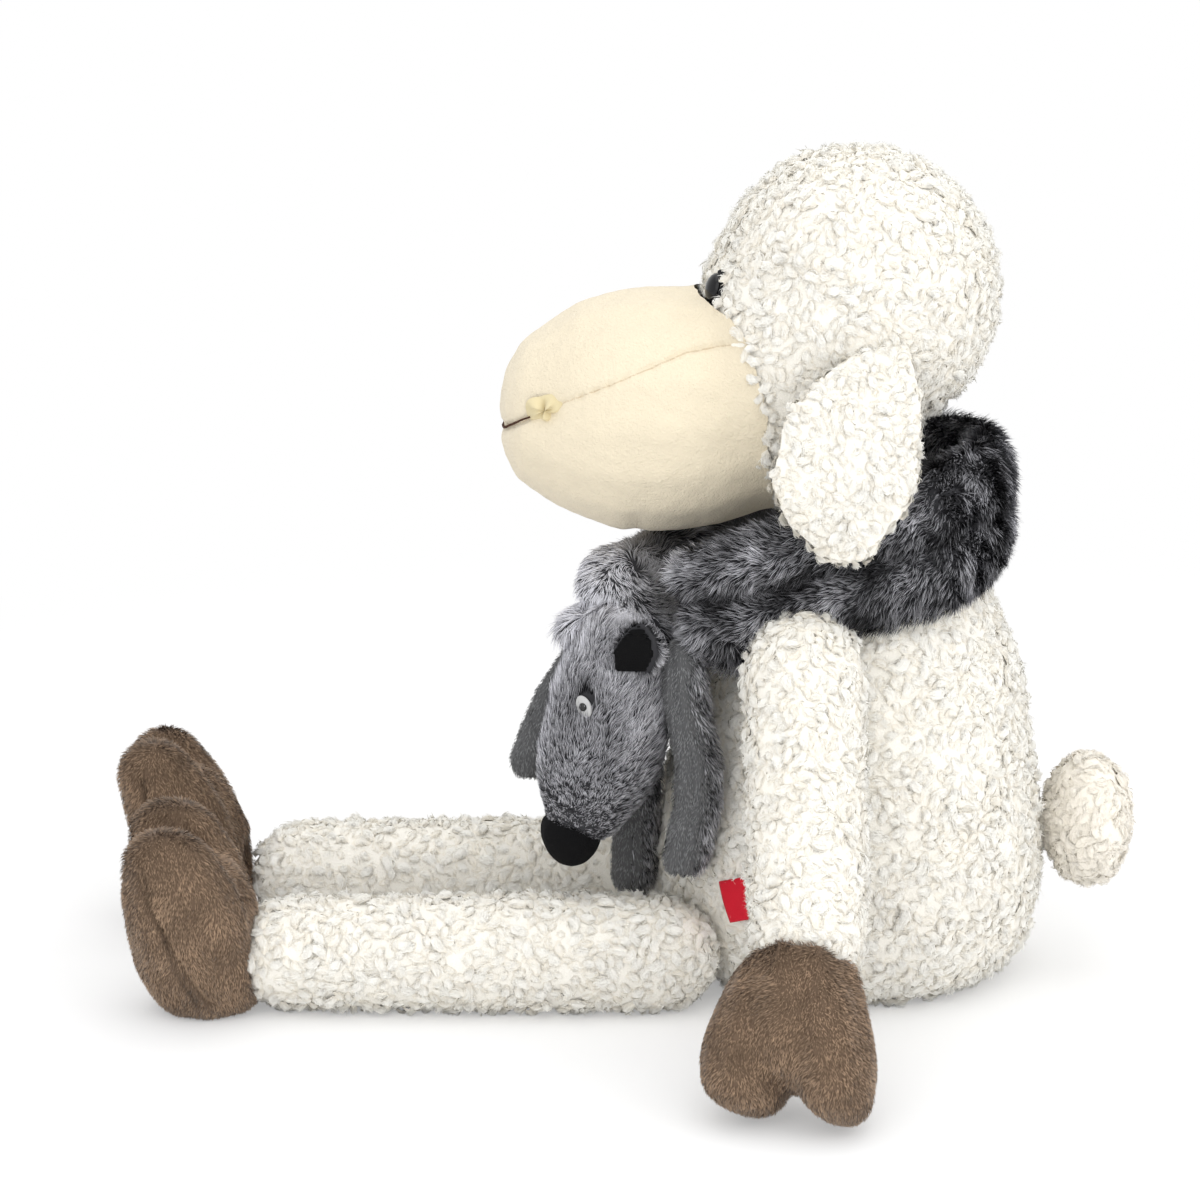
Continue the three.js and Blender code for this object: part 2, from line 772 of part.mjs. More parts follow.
function earRootAt(side, out) {
  const drop = EAR_ROOT_DROP_DEG * DEG;
  const back = EAR_ROOT_BACK_DEG * DEG;
  return vec(
    headCentre.x + (HEAD_DEPTH / 2 + out) * Math.cos(drop) * Math.sin(back),
    side * (HEAD_WIDTH / 2 + out) * Math.cos(drop) * Math.cos(back),
    headCentre.z - (HEAD_HEIGHT / 2 + out) * Math.sin(drop),
  );
}

// Drop, forward drift, outward drift, width and thickness of each ear level, as shares
const earLevelShares = [
  [0, 0, 0, 0.2, 1],
  [0.24, 0.1, 0.12, 0.76, 1],
  [0.52, 0.22, 0.21, 1, 1.05],
  [0.76, 0.22, 0.215, 0.82, 1],
  [0.93, 0.2, 0.2, 0.42, 0.85],
];

function earFormAt(side, root) {
  const line = [];
  const halves = [];
  for (const [drop, forward, outward, width, thickness] of earLevelShares) {
    line.push(
      vec(
        root.x - forward * EAR_LENGTH,
        root.y + side * outward * EAR_LENGTH,
        root.z - drop * EAR_LENGTH,
      ),
    );
    halves.push([(width * EAR_WIDTH) / 2, (thickness * EAR_THICKNESS) / 2]);
  }
  halves[0][0] = EAR_ROOT_RADIUS;
  halves[0][1] = EAR_ROOT_RADIUS;
  return { line, halves, up: Y, tips: [EAR_ROOT_RADIUS, EAR_TIP], rings: 5, sides: 10 };
}

// The left ear, brought up to the head, shows how far out both roots stand.
function earRootOut() {
  const out = EAR_ROOT_RADIUS + EAR_THICKNESS;
  const ear = stuffed(earFormAt(-1, earRootAt(-1, out)));
  return out - spareGap(ear, headForm(0));
}

const EAR_ROOT_OUT = earRootOut();

function earRootCentre(side) {
  return earRootAt(side, EAR_ROOT_OUT);
}

function earForm(side) {
  return earFormAt(side, earRootCentre(side));
}

// The smooth inner side of an ear: a thin leaf let into its inner face.
function earLiningForm(side) {
  const form = earForm(side);
  const inset = EAR_THICKNESS / 2 - EAR_LINING_THICKNESS / 4;
  const line = form.line.slice(1).map((p) => vec(p.x, p.y - side * inset, p.z));
  const narrowShare = 0.72;
  const halves = form.halves.slice(1).map(([a]) => [a * narrowShare, EAR_LINING_THICKNESS / 2]);
  return { line, halves, up: Y, tips: [EAR_TIP, EAR_TIP / 2], rings: 4, sides: 6 };
}

function earPieces(side) {
  const lining = stuffed(earLiningForm(side));
  const leaf = stuffed(earForm(side)).subtract(stuffed(earLiningForm(side), SEAM_GAP));
  return { leaf, lining };
}

// The tail: an oval puff on a short root that ends in a ball.
function tailSolid() {
  const { centre, outward } = tailRootCentre();
  const reach = TAIL_ROOM + TAIL_ROOT_SINK - TAIL_ROOT_RADIUS + TAIL_DEPTH / 2;
  const middle = centre.clone().addScaledVector(outward, reach);
  const half = [TAIL_ROOT_RADIUS, TAIL_ROOT_RADIUS];
  const tips = [TAIL_ROOT_RADIUS, TAIL_ROOT_RADIUS];
  const root = { line: [centre, middle], halves: [half, half], up: Z, tips, rings: 1, sides: 8 };
  const puff = pad(middle, TAIL_DEPTH, TAIL_WIDTH, TAIL_HEIGHT, TAIL_SIDES);
  return stuffed(root).add(puff);
}

// Arms hang outward from the shoulders; the hands stand on the floor.
function armDirection(side) {
  const splay = ARM_SPLAY_DEG * DEG;
  const lean = ARM_LEAN_DEG * DEG;
  const down = Math.cos(splay);
  return vec(-down * Math.sin(lean), side * Math.sin(splay), -down * Math.cos(lean)).normalize();
}

// A solid moved by a matrix.
function moved(piece, matrix) {
  return solid(geometryOf(piece).applyMatrix4(matrix));
}

function lowestPoint(piece) {
  const geometry = geometryOf(piece);
  geometry.computeBoundingBox();
  return geometry.boundingBox.min.z;
}

// Height along the hoof, width and thickness of its pad and of one toe, as shares of its sizes
const hoofPadShares = [
  [0.1, 0.72, 0.86],
  [0.32, 0.94, 0.98],
  [0.58, 0.96, 0.95],
];
const toeShares = [
  [0.42, 0.42, 0.82],
  [0.62, 0.48, 0.86],
  [0.8, 0.44, 0.72],
];
const padTipShares = [0.1, 0.26];
const toeTipShares = [0.15, 0.2];
const toeOffsetShare = 0.25;

function hoofForm(levelShares, tipShares, x, { length, width, thickness }) {
  const line = levelShares.map(([down]) => vec(x, 0, -down * length));
  const halves = levelShares.map(([, w, t]) => [(w * width) / 2, (t * thickness) / 2]);
  const tips = tipShares.map((share) => share * length);
  return { line, halves, up: Y, tips, rings: 3, sides: 8 };
}

// A cloven hoof: a pad and two toes, drawn from its heel at the origin down to its toes at -Z.
function hoof(sizes) {
  let piece = stuffed(hoofForm(hoofPadShares, padTipShares, 0, sizes));
  for (const side of [-1, 1]) {
    const x = side * toeOffsetShare * sizes.width;
    piece = piece.add(stuffed(hoofForm(toeShares, toeTipShares, x, sizes)));
  }
  return piece;
}

// The hand on its wrist, with the wrist's centre at the origin.
function handAtOrigin(side) {
  const sizes = { length: HAND_LENGTH, width: HAND_WIDTH, thickness: HAND_THICKNESS };
  const low = armDirection(side);
  const turn = new THREE.Matrix4().makeRotationZ(side * HAND_TURN_DEG * DEG);
  const tilt = new THREE.Matrix4().makeRotationFromQuaternion(
    new THREE.Quaternion().setFromUnitVectors(vec(0, 0, -1), low),
  );
  const shift = new THREE.Matrix4().makeTranslation(-HAND_SHIFT, 0, 0);
  return moved(hoof(sizes), shift.multiply(tilt).multiply(turn));
}

// The arm is as long as it takes for its hand to stand on the floor.
function armLength(side) {
  const reach = lowestPoint(handAtOrigin(side));
  return (shoulderCentre(side).z + reach + FLAT_CUT) / -armDirection(side).z;
}

const ARM_REACH = armLength(-1);

function wristCentre(side) {
  return shoulderCentre(side).addScaledVector(armDirection(side), ARM_REACH);
}

const armStepShares = [0, 0.3, 0.65, 1];

function armSolid(side) {
  const start = shoulderCentre(side);
  const line = armStepShares.map((s) =>
    start.clone().addScaledVector(armDirection(side), s * ARM_REACH),
  );
  const sizes = [SHOULDER_RADIUS, ARM_RADIUS, ARM_RADIUS, WRIST_RADIUS];
  const halves = sizes.map((size) => [size, size]);
  const tips = [SHOULDER_RADIUS, WRIST_RADIUS];
  return stuffed({ line, halves, up: X, tips, rings: 5, sides: 12 });
}

// A slab that ends at a plane through a point and fills the side that the direction shows.
function slabFrom(point, direction, reach) {
  const box = new THREE.BoxGeometry(2 * reach, 2 * reach, reach);
  box.translate(0, 0, reach / 2);
  box.applyQuaternion(new THREE.Quaternion().setFromUnitVectors(Z, direction));
  return solid(box.translate(point.x, point.y, point.z));
}

function handSolid(side) {
  const wrist = wristCentre(side);
  const low = armDirection(side);
  const place = new THREE.Matrix4().makeTranslation(wrist.x, wrist.y, wrist.z);
  const cuff = wrist.clone().addScaledVector(low, CUFF_SETBACK);
  const hand = moved(handAtOrigin(side), place)
    .subtract(slabFrom(cuff, low.clone().negate(), HAND_WIDTH + HAND_LENGTH))
    .subtract(socketBall(wrist, WRIST_RADIUS + TURN_GAP));
  return flattened(hand);
}

function ankleCentre(side) {
  return hipCentre(side).addScaledVector(X, -LEG_LENGTH);
}

const legStepShares = [0, 0.25, 0.6, 1];

function legSolid(side) {
  const start = hipCentre(side);
  const line = legStepShares.map((s) => start.clone().addScaledVector(X, -s * LEG_LENGTH));
  const sizes = [LEG_RADIUS, LEG_RADIUS, LEG_RADIUS, ANKLE_RADIUS];
  const halves = sizes.map((size) => [size, size]);
  const tips = [LEG_RADIUS, ANKLE_RADIUS];
  return flattened(stuffed({ line, halves, up: Z, tips, rings: 5, sides: 14 }));
}

// The foot stands on its heel in front of the ankle, toes up and turned a little outward.
function footSolid(side) {
  const ankle = ankleCentre(side);
  const sizes = { length: FOOT_LENGTH, width: FOOT_WIDTH, thickness: FOOT_THICKNESS };
  const stand = new THREE.Matrix4().makeRotationY(Math.PI);
  const quarter = new THREE.Matrix4().makeRotationZ(Math.PI / 2);
  const forward = (side < 0 ? LEFT_FOOT_LEAN_DEG : RIGHT_FOOT_LEAN_DEG) * DEG;
  const tilt = new THREE.Matrix4().makeRotationX(-side * FOOT_TILT_DEG * DEG);
  const lean = new THREE.Matrix4().makeRotationY(-forward).multiply(tilt);
  const upright = moved(hoof(sizes), lean.multiply(quarter).multiply(stand));
  const x = ankle.x - CUFF_SETBACK - FOOT_THICKNESS / 2 + LEG_RADIUS * Math.sin(forward);
  const z = -lowestPoint(upright) - FLAT_CUT;
  const foot = moved(upright, new THREE.Matrix4().makeTranslation(x, ankle.y, z));
  const cuff = vec(ankle.x - CUFF_SETBACK, ankle.y, ankle.z);
  const behind = slabFrom(cuff, X, FOOT_LENGTH + FOOT_WIDTH);
  const socket = socketBall(ankle, ANKLE_RADIUS + TURN_GAP);
  return flattened(foot.subtract(behind).subtract(socket));
}

// The bare woven label, laid against the side of the torso.
function sideLabel() {
  const { point, outward } = torsoSeat(labelHeightShare, LABEL_BEARING_DEG * DEG, -1, 0);
  const box = new THREE.BoxGeometry(LABEL_WIDTH, LABEL_HEIGHT, LABEL_THICKNESS);
  box.rotateZ(LABEL_TILT_DEG * DEG);
  const level = vec(outward.x, outward.y, 0).normalize();
  const sideways = Z.clone().cross(level);
  const upward = outward.clone().cross(sideways);
  box.applyMatrix4(new THREE.Matrix4().makeBasis(sideways, upward, outward));
  const place = point.clone().addScaledVector(outward, LABEL_WIDTH / 2);
  const label = solid(box.translate(place.x, place.y, place.z));
  return settled(label, flattenedTorso(0), outward);
}

// Depth, width and height places along the scarf's middle, then its height and thickness, as
// shares. It runs from the front end on the left, round the back, to the wolf's neck.
const scarfPathShares = [
  [-0.398, -0.326, 0.813, 0.84, 1],
  [-0.255, -0.375, 0.87, 0.84, 1],
  [-0.051, -0.382, 0.919, 0.92, 1],
  [0.179, -0.326, 0.967, 1, 1],
  [0.316, 0, 0.992, 1, 1],
  [0.179, 0.326, 0.967, 1, 1],
  [-0.051, 0.382, 0.919, 0.92, 1],
  [-0.255, 0.355, 0.87, 0.84, 1],
  [-0.428, 0.228, 0.829, 0.76, 1],
  [-0.53, 0.043, 0.811, 0.66, 1.05],
];
const wolfNeckShares = [
  [-0.602, -0.13, 0.8],
  [-0.622, -0.26, 0.745],
];

function torsoPlace([depth, width, height]) {
  return vec(depth * TORSO_DEPTH, width * TORSO_WIDTH, height * TORSO_HEIGHT);
}

// Straight up, leant forward by an angle.
function forwardUp(degrees) {
  return vec(-Math.sin(degrees * DEG), 0, Math.cos(degrees * DEG));
}

function scarfForm() {
  const line = [...scarfPathShares, ...wolfNeckShares].map(torsoPlace);
  const halves = scarfPathShares.map(([, , , height, thickness]) => [
    (thickness * SCARF_THICKNESS) / 2,
    (height * SCARF_HEIGHT) / 2,
  ]);
  const endShare = 0.8;
  halves.push([WOLF_NECK_WIDTH / 2, WOLF_NECK_DEPTH / 2]);
  halves.push([WOLF_NECK_WIDTH / 2, (endShare * WOLF_NECK_DEPTH) / 2]);
  const ups = line.map(() => Z.clone());
  ups[ups.length - 2] = forwardUp(WOLF_NECK_TWIST_DEG / 2);
  ups[ups.length - 1] = forwardUp(WOLF_NECK_TWIST_DEG);
  return { line, halves, ups, tips: [SCARF_TIP, WOLF_NECK_WIDTH / 3], rings: 19, sides: 8 };
}

const scarf = scarfForm();

// The smooth lining: a thin strip along the inner side of the scarf's round part.
function scarfLiningForm() {
  const count = scarfPathShares.length;
  const shift = (SCARF_THICKNESS - SCARF_LINING_THICKNESS) / 2;
  const narrowShare = 0.7;
  const line = [];
  for (let i = 0; i < count; i++) {
    const p = scarf.line[i].clone();
    const inward = vec(neckX - p.x, -p.y, 0).normalize();
    line.push(p.addScaledVector(inward, shift));
  }
  const halves = scarf.halves
    .slice(0, count)
    .map(([, height]) => [SCARF_LINING_THICKNESS / 2, height * narrowShare]);
  const tips = [SCARF_LINING_THICKNESS, SCARF_LINING_THICKNESS];
  return { line, halves, up: Z, tips, rings: 12, sides: 5 };
}

// The wolf's head hangs from a ball at the end of the scarf.
function wolfHeadCentre() {
  const end = sectionAt(scarf, 1);
  return end.centre.addScaledVector(end.ahead, scarf.tips[1] / 2);
}

// Drop, forward drift, depth and width of each level of the wolf's head, as shares
const wolfHeadLevelShares = [
  [0, 0, 0.66, 0.68],
  [0.2, 0.01, 0.95, 0.97],
  [0.45, 0.05, 1, 1],
  [0.66, 0.11, 0.98, 0.9],
  [0.82, 0.15, 0.7, 0.66],
];

function wolfHeadForm() {
  const pivot = wolfHeadCentre();
  const line = wolfHeadLevelShares.map(([drop, forward]) =>
    vec(pivot.x - forward * WOLF_HEAD_LENGTH, pivot.y, pivot.z - drop * WOLF_HEAD_LENGTH),
  );
  const halves = wolfHeadLevelShares.map(([, , depth, width]) => [
    (depth * WOLF_HEAD_DEPTH) / 2,
    (width * WOLF_HEAD_WIDTH) / 2,
  ]);
  const tip = (1 - wolfHeadLevelShares.at(-1)[0]) * WOLF_HEAD_LENGTH;
  return { line, halves, up: Y, tips: [WOLF_NECK_RADIUS, tip], rings: 6, sides: 12 };
}

const wolf = wolfHeadForm();

function wolfNose(grow = 0) {
  const end = tipPoint(wolf, 1, 0);
  const forwardShare = 0.08;
  const riseShare = 0.15;
  const x = end.x - WOLF_NOSE_DEPTH * forwardShare;
  const centre = vec(x, end.y, end.z + WOLF_NOSE_HEIGHT * riseShare);
  return pad(
    centre,
    WOLF_NOSE_DEPTH + 2 * grow,
    WOLF_NOSE_WIDTH + 2 * grow,
    WOLF_NOSE_HEIGHT + 2 * grow,
    12,
  );
}

// A point on one side of the wolf's head, by its level and its bearing from the front.
function wolfHeadPoint(share, bearing, side) {
  const turn = side * bearing * DEG + Math.PI;
  return { point: wolfSkin(share, turn), outward: wolfNormal(share, turn) };
}

function wolfSkin(share, turn) {
  const { centre, half } = sectionAt(wolf, share);
  return centre.add(vec(half.x * Math.cos(turn), -half.y * Math.sin(turn), 0));
}

function wolfNormal(share, turn) {
  const { half } = sectionAt(wolf, share);
  return vec(Math.cos(turn) / half.x, -Math.sin(turn) / half.y, 0).normalize();
}

// A thin oval disc laid on the wolf's head, its length along the head.
function facePatch(share, bearing, side, sizes, lift) {
  const { point, outward } = wolfHeadPoint(share, bearing, side);
  const disc = new THREE.CylinderGeometry(1, 1, 1, 14);
  disc.rotateX(Math.PI / 2);
  disc.scale(sizes.width / 2, sizes.length / 2, sizes.thickness);
  const sideways = Z.clone().cross(outward).normalize();
  disc.applyMatrix4(new THREE.Matrix4().makeBasis(sideways, Z, outward));
  const place = point.addScaledVector(outward, lift + sizes.thickness / 2);
  return disc.translate(place.x, place.y, place.z);
}

const wolfEyeShare = 0.27;
const WOLF_EYE_BEARING_DEG = 62;

// Level of each wolf ear on the head, its bearing from the front and its rise off the head;
// the right one droops
const wolfEars = {
  left: { levelShare: 0.06, bearingDeg: 100, riseDeg: 55 },
  right: { levelShare: 0.4, bearingDeg: 72, riseDeg: -85 },
};

function wolfEye(side) {
  const sizes = {
    width: WOLF_EYE_WIDTH,
    length: WOLF_EYE_LENGTH,
    thickness: WOLF_EYE_THICKNESS,
  };
  const bearing = WOLF_EYE_BEARING_DEG;
  return solid(facePatch(wolfEyeShare, bearing, side, sizes, SEAM_GAP + WOLF_EYE_THICKNESS / 3));
}

function wolfPupil(side) {
  const size = 2 * WOLF_PUPIL_RADIUS;
  const sizes = { width: size, length: size, thickness: WOLF_EYE_THICKNESS / 2 };
  const lift = SEAM_GAP + WOLF_EYE_THICKNESS / 3 + WOLF_EYE_THICKNESS + SEAM_GAP;
  return solid(facePatch(wolfEyeShare, WOLF_EYE_BEARING_DEG, side, sizes, lift));
}

// A wolf's ear: a small pointed leaf that leans off the side of the head, with its lining.
function wolfEarForm(side, grow) {
  const { levelShare, bearingDeg, riseDeg } = side < 0 ? wolfEars.left : wolfEars.right;
  const { point, outward } = wolfHeadPoint(levelShare, bearingDeg, side);
  const base = point.addScaledVector(outward, WOLF_EAR_THICKNESS / 2 + SEAM_GAP);
  const rise = riseDeg * DEG;
  const aim = outward.clone().multiplyScalar(Math.cos(rise)).addScaledVector(Z, Math.sin(rise));
  const stepShares = [-0.12, 0.3, 0.65, 0.9];
  const widthShares = [0.8, 1, 0.72, 0.3];
  const line = stepShares.map((s) => base.clone().addScaledVector(aim, s * WOLF_EAR_LENGTH));
  const halves = widthShares.map((w) => [
    (w * WOLF_EAR_THICKNESS) / 2 + grow,
    (w * WOLF_EAR_WIDTH) / 2 + grow,
  ]);
  const tip = WOLF_EAR_TIP;
  return { line, halves, up: X, tips: [tip, tip], rings: 3, sides: 6 };
}

function wolfEarPieces(side) {
  const form = wolfEarForm(side, 0);
  const sinkShare = 0.42;
  const thinShare = 0.3;
  const narrowShare = 0.72;
  const inner = { ...form };
  inner.line = form.line.map((p) => p.clone().addScaledVector(X, -sinkShare * WOLF_EAR_THICKNESS));
  inner.halves = form.halves.map(([a, b]) => [a * thinShare, b * narrowShare]);
  const head = stuffed(wolf, SEAM_GAP);
  const leaf = stuffed(form).subtract(stuffed(inner, SEAM_GAP)).subtract(head);
  return { leaf, lining: stuffed(inner).subtract(head) };
}

function wolfHeadSolid() {
  return stuffed(wolf).subtract(wolfNose(SEAM_GAP));
}

// Root on the scarf, knee and paw of each wolf leg, as shares of the torso's sizes; a paw
// hangs just over the sheep's legs or at its own height.
const wolfLegShares = {
  wolf_hindleg_left: [
    [-0.42, -0.35, 0.7],
    [-0.44, -0.385, 0.48],
    [-0.435, -0.375, 0.325],
  ],
  wolf_hindleg_right: [
    [-0.54, -0.08, 0.7],
    [-0.565, -0.076, 0.46],
    [-0.58, -0.078, 0.215],
  ],
  wolf_foreleg_left: [
    [-0.66, -0.06, 0.72],
    [-0.775, -0.035, 0.58],
    [-0.84, -0.01, 0.445],
  ],
  wolf_foreleg_right: [
    [-0.545, 0.07, 0.71],
    [-0.565, 0.1, 0.54],
    [-0.585, 0.11, 0.4],
  ],
};

function wolfLegForm(name) {
  const line = wolfLegShares[name].map(torsoPlace);
  const halves = line.map(() => [WOLF_LEG_RADIUS, WOLF_LEG_RADIUS]);
  const tips = [WOLF_LEG_RADIUS, WOLF_LEG_RADIUS];
  return { line, halves, up: X, tips, rings: 4, sides: 8 };
}

// The room that the wolf's head needs as it swings forward.
function wolfHeadSweep() {
  const { x, y, z } = wolfHeadCentre();
  const head = geometryOf(stuffed(wolf, TURN_GAP)).translate(-x, -y, -z);
  const steps = 3;
  let sweep = null;
  for (let i = 0; i < steps; i++) {
    const turn = (WOLF_HEAD_SWING_DEG * DEG * i) / (steps - 1);
    const swung = solid(head.clone().rotateY(turn).translate(x, y, z));
    sweep = sweep ? sweep.add(swung) : swung;
  }
  return sweep;
}

function scarfPieces() {
  let lining = stuffed(scarfLiningForm());
  let fur = stuffed(scarf).subtract(stuffed(scarfLiningForm(), SEAM_GAP));
  fur = fur.subtract(flattenedTorso(-SEAM_GAP));
  lining = lining.subtract(flattenedTorso(-SEAM_GAP));
  fur = fur.subtract(socketBall(wolfHeadCentre(), WOLF_NECK_RADIUS + TURN_GAP));
  fur = fur.subtract(wolfHeadSweep());
  for (const side of [-1, 1]) {
    fur = fur.subtract(socketBall(shoulderCentre(side), SHOULDER_RADIUS + TURN_GAP));
  }
  for (const name of Object.keys(wolfLegShares)) {
    const root = wolfLegForm(name).line[0];
    fur = fur.subtract(socketBall(root, WOLF_LEG_RADIUS + TURN_GAP));
  }
  return { fur: largest(fur), lining: largest(lining) };
}

// Materials: colour, roughness
const finishes = {
  wool: [0xf3ead9, 1],
  velour: [0xfbe9d0, 0.95],
  hoof: [0x7d6655, 0.95],
  smooth_lining: [0xf0e3cc, 0.95],
  stuffing: [0xffffff, 1],
  granules: [0xd9d4c8, 0.9],
  eye: [0x0a0a0c, 0.08],
  felt: [0x3a3a3c, 1],
  washer: [0xe6e6e2, 0.5],
  stitch: [0x4a2f22, 0.9],
  label: [0xc8102a, 0.8],
  wolf_fur: [0x6b6c70, 1],
  wolf_smooth: [0x6e6e71, 0.95],
  wolf_black: [0x0d0d0e, 0.95],
  wolf_eye: [0xc9c9c6, 0.9],
};

function meshOf(name, piece, finish) {
  const [color, roughness] = finishes[finish];
  const material = new THREE.MeshStandardMaterial({ color, roughness, metalness: 0 });
  const mesh = new THREE.Mesh(geometryOf(piece), material);
  mesh.name = name;
  return mesh;
}

// A moving group whose own origin is the point that it turns about.
function turning(name, pivot, meshes) {
  const group = new THREE.Group();
  group.name = name;
  group.position.copy(pivot);
  for (const mesh of meshes) {
    mesh.geometry.translate(-pivot.x, -pivot.y, -pivot.z);
    group.add(mesh);
  }
  return group;
}

const sides = { left: -1, right: 1 };

function torsoGroup() {
  const { cover, stuffing, bag } = torsoPieces();
  const { fur, lining } = scarfPieces();
  const group = new THREE.Group();
  group.add(
    meshOf("torso_cover", cover, "wool"),
    meshOf("torso_stuffing", stuffing, "stuffing"),
    meshOf("granule_bag", bag, "granules"),
    meshOf("side_label", sideLabel(), "label"),
    meshOf("scarf_loop", fur, "wolf_fur"),
    meshOf("scarf_lining", lining, "wolf_smooth"),
  );
  return group;
}

function headMeshes() {
  const { cover, stuffing } = headPieces();
  const { upper, lower } = muzzlePieces();
  const meshes = [
    meshOf("head_cover", boredForEyes(cover), "wool"),
    meshOf("head_stuffing", boredForEyes(stuffing), "stuffing"),
    meshOf("muzzle_upper", boredForEyes(upper), "velour"),
    meshOf("muzzle_lower", lower, "velour"),
    meshOf("mouth_stitch", mouthStitch(), "stitch"),
  ];
  for (const [word, side] of Object.entries(sides)) {
    meshes.push(
      meshOf(`mouth_tuck_${word}`, mouthTuck(side), "smooth_lining"),
      meshOf(`eye_${word}`, eyeSolid(side), "eye"),
      meshOf(`eye_backing_${word}`, eyeBacking(side), "felt"),
      meshOf(`eye_washer_${word}`, eyeWasher(side), "washer"),
    );
  }
  return meshes;
}

function earGroup(word, side) {
  const { leaf, lining } = earPieces(side);
  const meshes = [
    meshOf(`ear_${word}`, leaf, "wool"),
    meshOf(`ear_lining_${word}`, lining, "smooth_lining"),
  ];
  return turning(`ear_flap_${word}`, earRootCentre(side), meshes);
}

function limbGroups(word, side) {
  const arm = [meshOf(`arm_${word}`, armSolid(side), "wool")];
  const hand = [meshOf(`hand_${word}`, handSolid(side), "hoof")];
  const leg = [meshOf(`leg_${word}`, legSolid(side), "wool")];
  const foot = [meshOf(`foot_${word}`, footSolid(side), "hoof")];
  return [
    turning(`arm_swing_${word}`, shoulderCentre(side), arm),
    turning(`wrist_flex_${word}`, wristCentre(side), hand),
    turning(`leg_spread_${word}`, hipCentre(side), leg),
    turning(`ankle_flex_${word}`, ankleCentre(side), foot),
  ];
}

function wolfHeadGroup() {
  const meshes = [
    meshOf("wolf_head", wolfHeadSolid(), "wolf_fur"),
    meshOf("wolf_nose", wolfNose(), "wolf_black"),
  ];
  for (const [word, side] of Object.entries(sides)) {
    const { leaf, lining } = wolfEarPieces(side);
    meshes.push(
      meshOf(`wolf_ear_${word}`, leaf, "wolf_fur"),
      meshOf(`wolf_ear_lining_${word}`, lining, "wolf_black"),
      meshOf(`wolf_eye_${word}`, wolfEye(side), "wolf_eye"),
      meshOf(`wolf_pupil_${word}`, wolfPupil(side), "eye"),
    );
  }
  return turning("wolf_head_swing", wolfHeadCentre(), meshes);
}

function assembled() {
  const sheep = new THREE.Group();
  sheep.add(torsoGroup());
  sheep.add(turning("head_turn", neckCentre, [meshOf("neck", neckSolid(), "wool")]));
  sheep.add(turning("head_nod", neckCentre, headMeshes()));
  const tail = [meshOf("tail", tailSolid(), "wool")];
  sheep.add(turning("tail_wag", tailRootCentre().centre, tail));
  for (const [word, side] of Object.entries(sides)) {
    sheep.add(earGroup(word, side), ...limbGroups(word, side));
  }
  sheep.add(wolfHeadGroup());
  for (const name of Object.keys(wolfLegShares)) {
    const form = wolfLegForm(name);
    const leg = [meshOf(name, stuffed(form), "wolf_smooth")];
    sheep.add(turning(name.replace("wolf_", "wolf_swing_"), form.line[0], leg));
  }
  return sheep;
}

export default assembled();
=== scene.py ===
"""A seated plush sheep with a wolf-skin scarf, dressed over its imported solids.

Each soft form is taken from the outside of its solid, smoothed, and covered with
curls of wool, long fur or short pile. All sizes are in metres.
"""

import itertools
import json
import math
from collections import namedtuple

import bmesh
import bpy
import numpy as np
from bpy.props import FloatProperty, FloatVectorProperty, IntProperty, PointerProperty
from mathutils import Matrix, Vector
from mathutils.kdtree import KDTree

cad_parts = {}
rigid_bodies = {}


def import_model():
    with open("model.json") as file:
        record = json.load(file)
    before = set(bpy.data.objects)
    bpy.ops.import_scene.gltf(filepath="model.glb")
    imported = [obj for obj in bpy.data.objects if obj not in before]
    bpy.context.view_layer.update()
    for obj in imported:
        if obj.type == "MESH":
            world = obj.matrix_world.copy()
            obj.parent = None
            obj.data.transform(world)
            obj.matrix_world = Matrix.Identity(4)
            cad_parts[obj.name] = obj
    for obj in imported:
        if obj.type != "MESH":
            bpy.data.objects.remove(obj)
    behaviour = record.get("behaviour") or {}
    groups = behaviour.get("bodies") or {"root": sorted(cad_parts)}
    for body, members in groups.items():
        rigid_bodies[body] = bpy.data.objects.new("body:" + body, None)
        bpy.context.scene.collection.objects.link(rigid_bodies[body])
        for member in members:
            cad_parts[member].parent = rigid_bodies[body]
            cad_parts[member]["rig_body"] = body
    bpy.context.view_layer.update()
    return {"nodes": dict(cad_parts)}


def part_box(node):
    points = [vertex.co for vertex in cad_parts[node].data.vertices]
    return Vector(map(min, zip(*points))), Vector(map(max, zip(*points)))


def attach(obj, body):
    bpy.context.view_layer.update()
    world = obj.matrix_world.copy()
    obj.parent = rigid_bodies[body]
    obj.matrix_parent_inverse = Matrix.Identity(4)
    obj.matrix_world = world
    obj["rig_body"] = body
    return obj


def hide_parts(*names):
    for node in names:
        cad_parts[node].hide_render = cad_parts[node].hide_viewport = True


bl_info = {
    "name": "Plush sheep with wolf scarf",
    "version": (1, 0, 0),
    "blender": (4, 5, 0),
    "location": "3D View > Sidebar > Sheep",
    "description": "Builds the wool, fur, muzzle, hoofs and scarf of a seated plush sheep",
    "category": "Object",
}

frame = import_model()

MM = 0.001
PER_MM2 = 1e6
FIBRE_UV = "OFBake"
SIDES = ("left", "right")
UP = np.array([0.0, 0.0, 1.0])
DOWN = -UP

Form = namedtuple("Form", "points normals triangles")


def colour_property(name, description, default):
    return FloatVectorProperty(
        name=name, description=description, subtype="COLOR", size=3, min=0, max=1, default=default
    )


def length_property(name, description, default):
    return FloatProperty(
        name=name, description=description, subtype="DISTANCE", unit="LENGTH", min=0, default=default
    )


def density_property(description, default):
    return FloatProperty(name="Density", description=description, min=0, default=default)


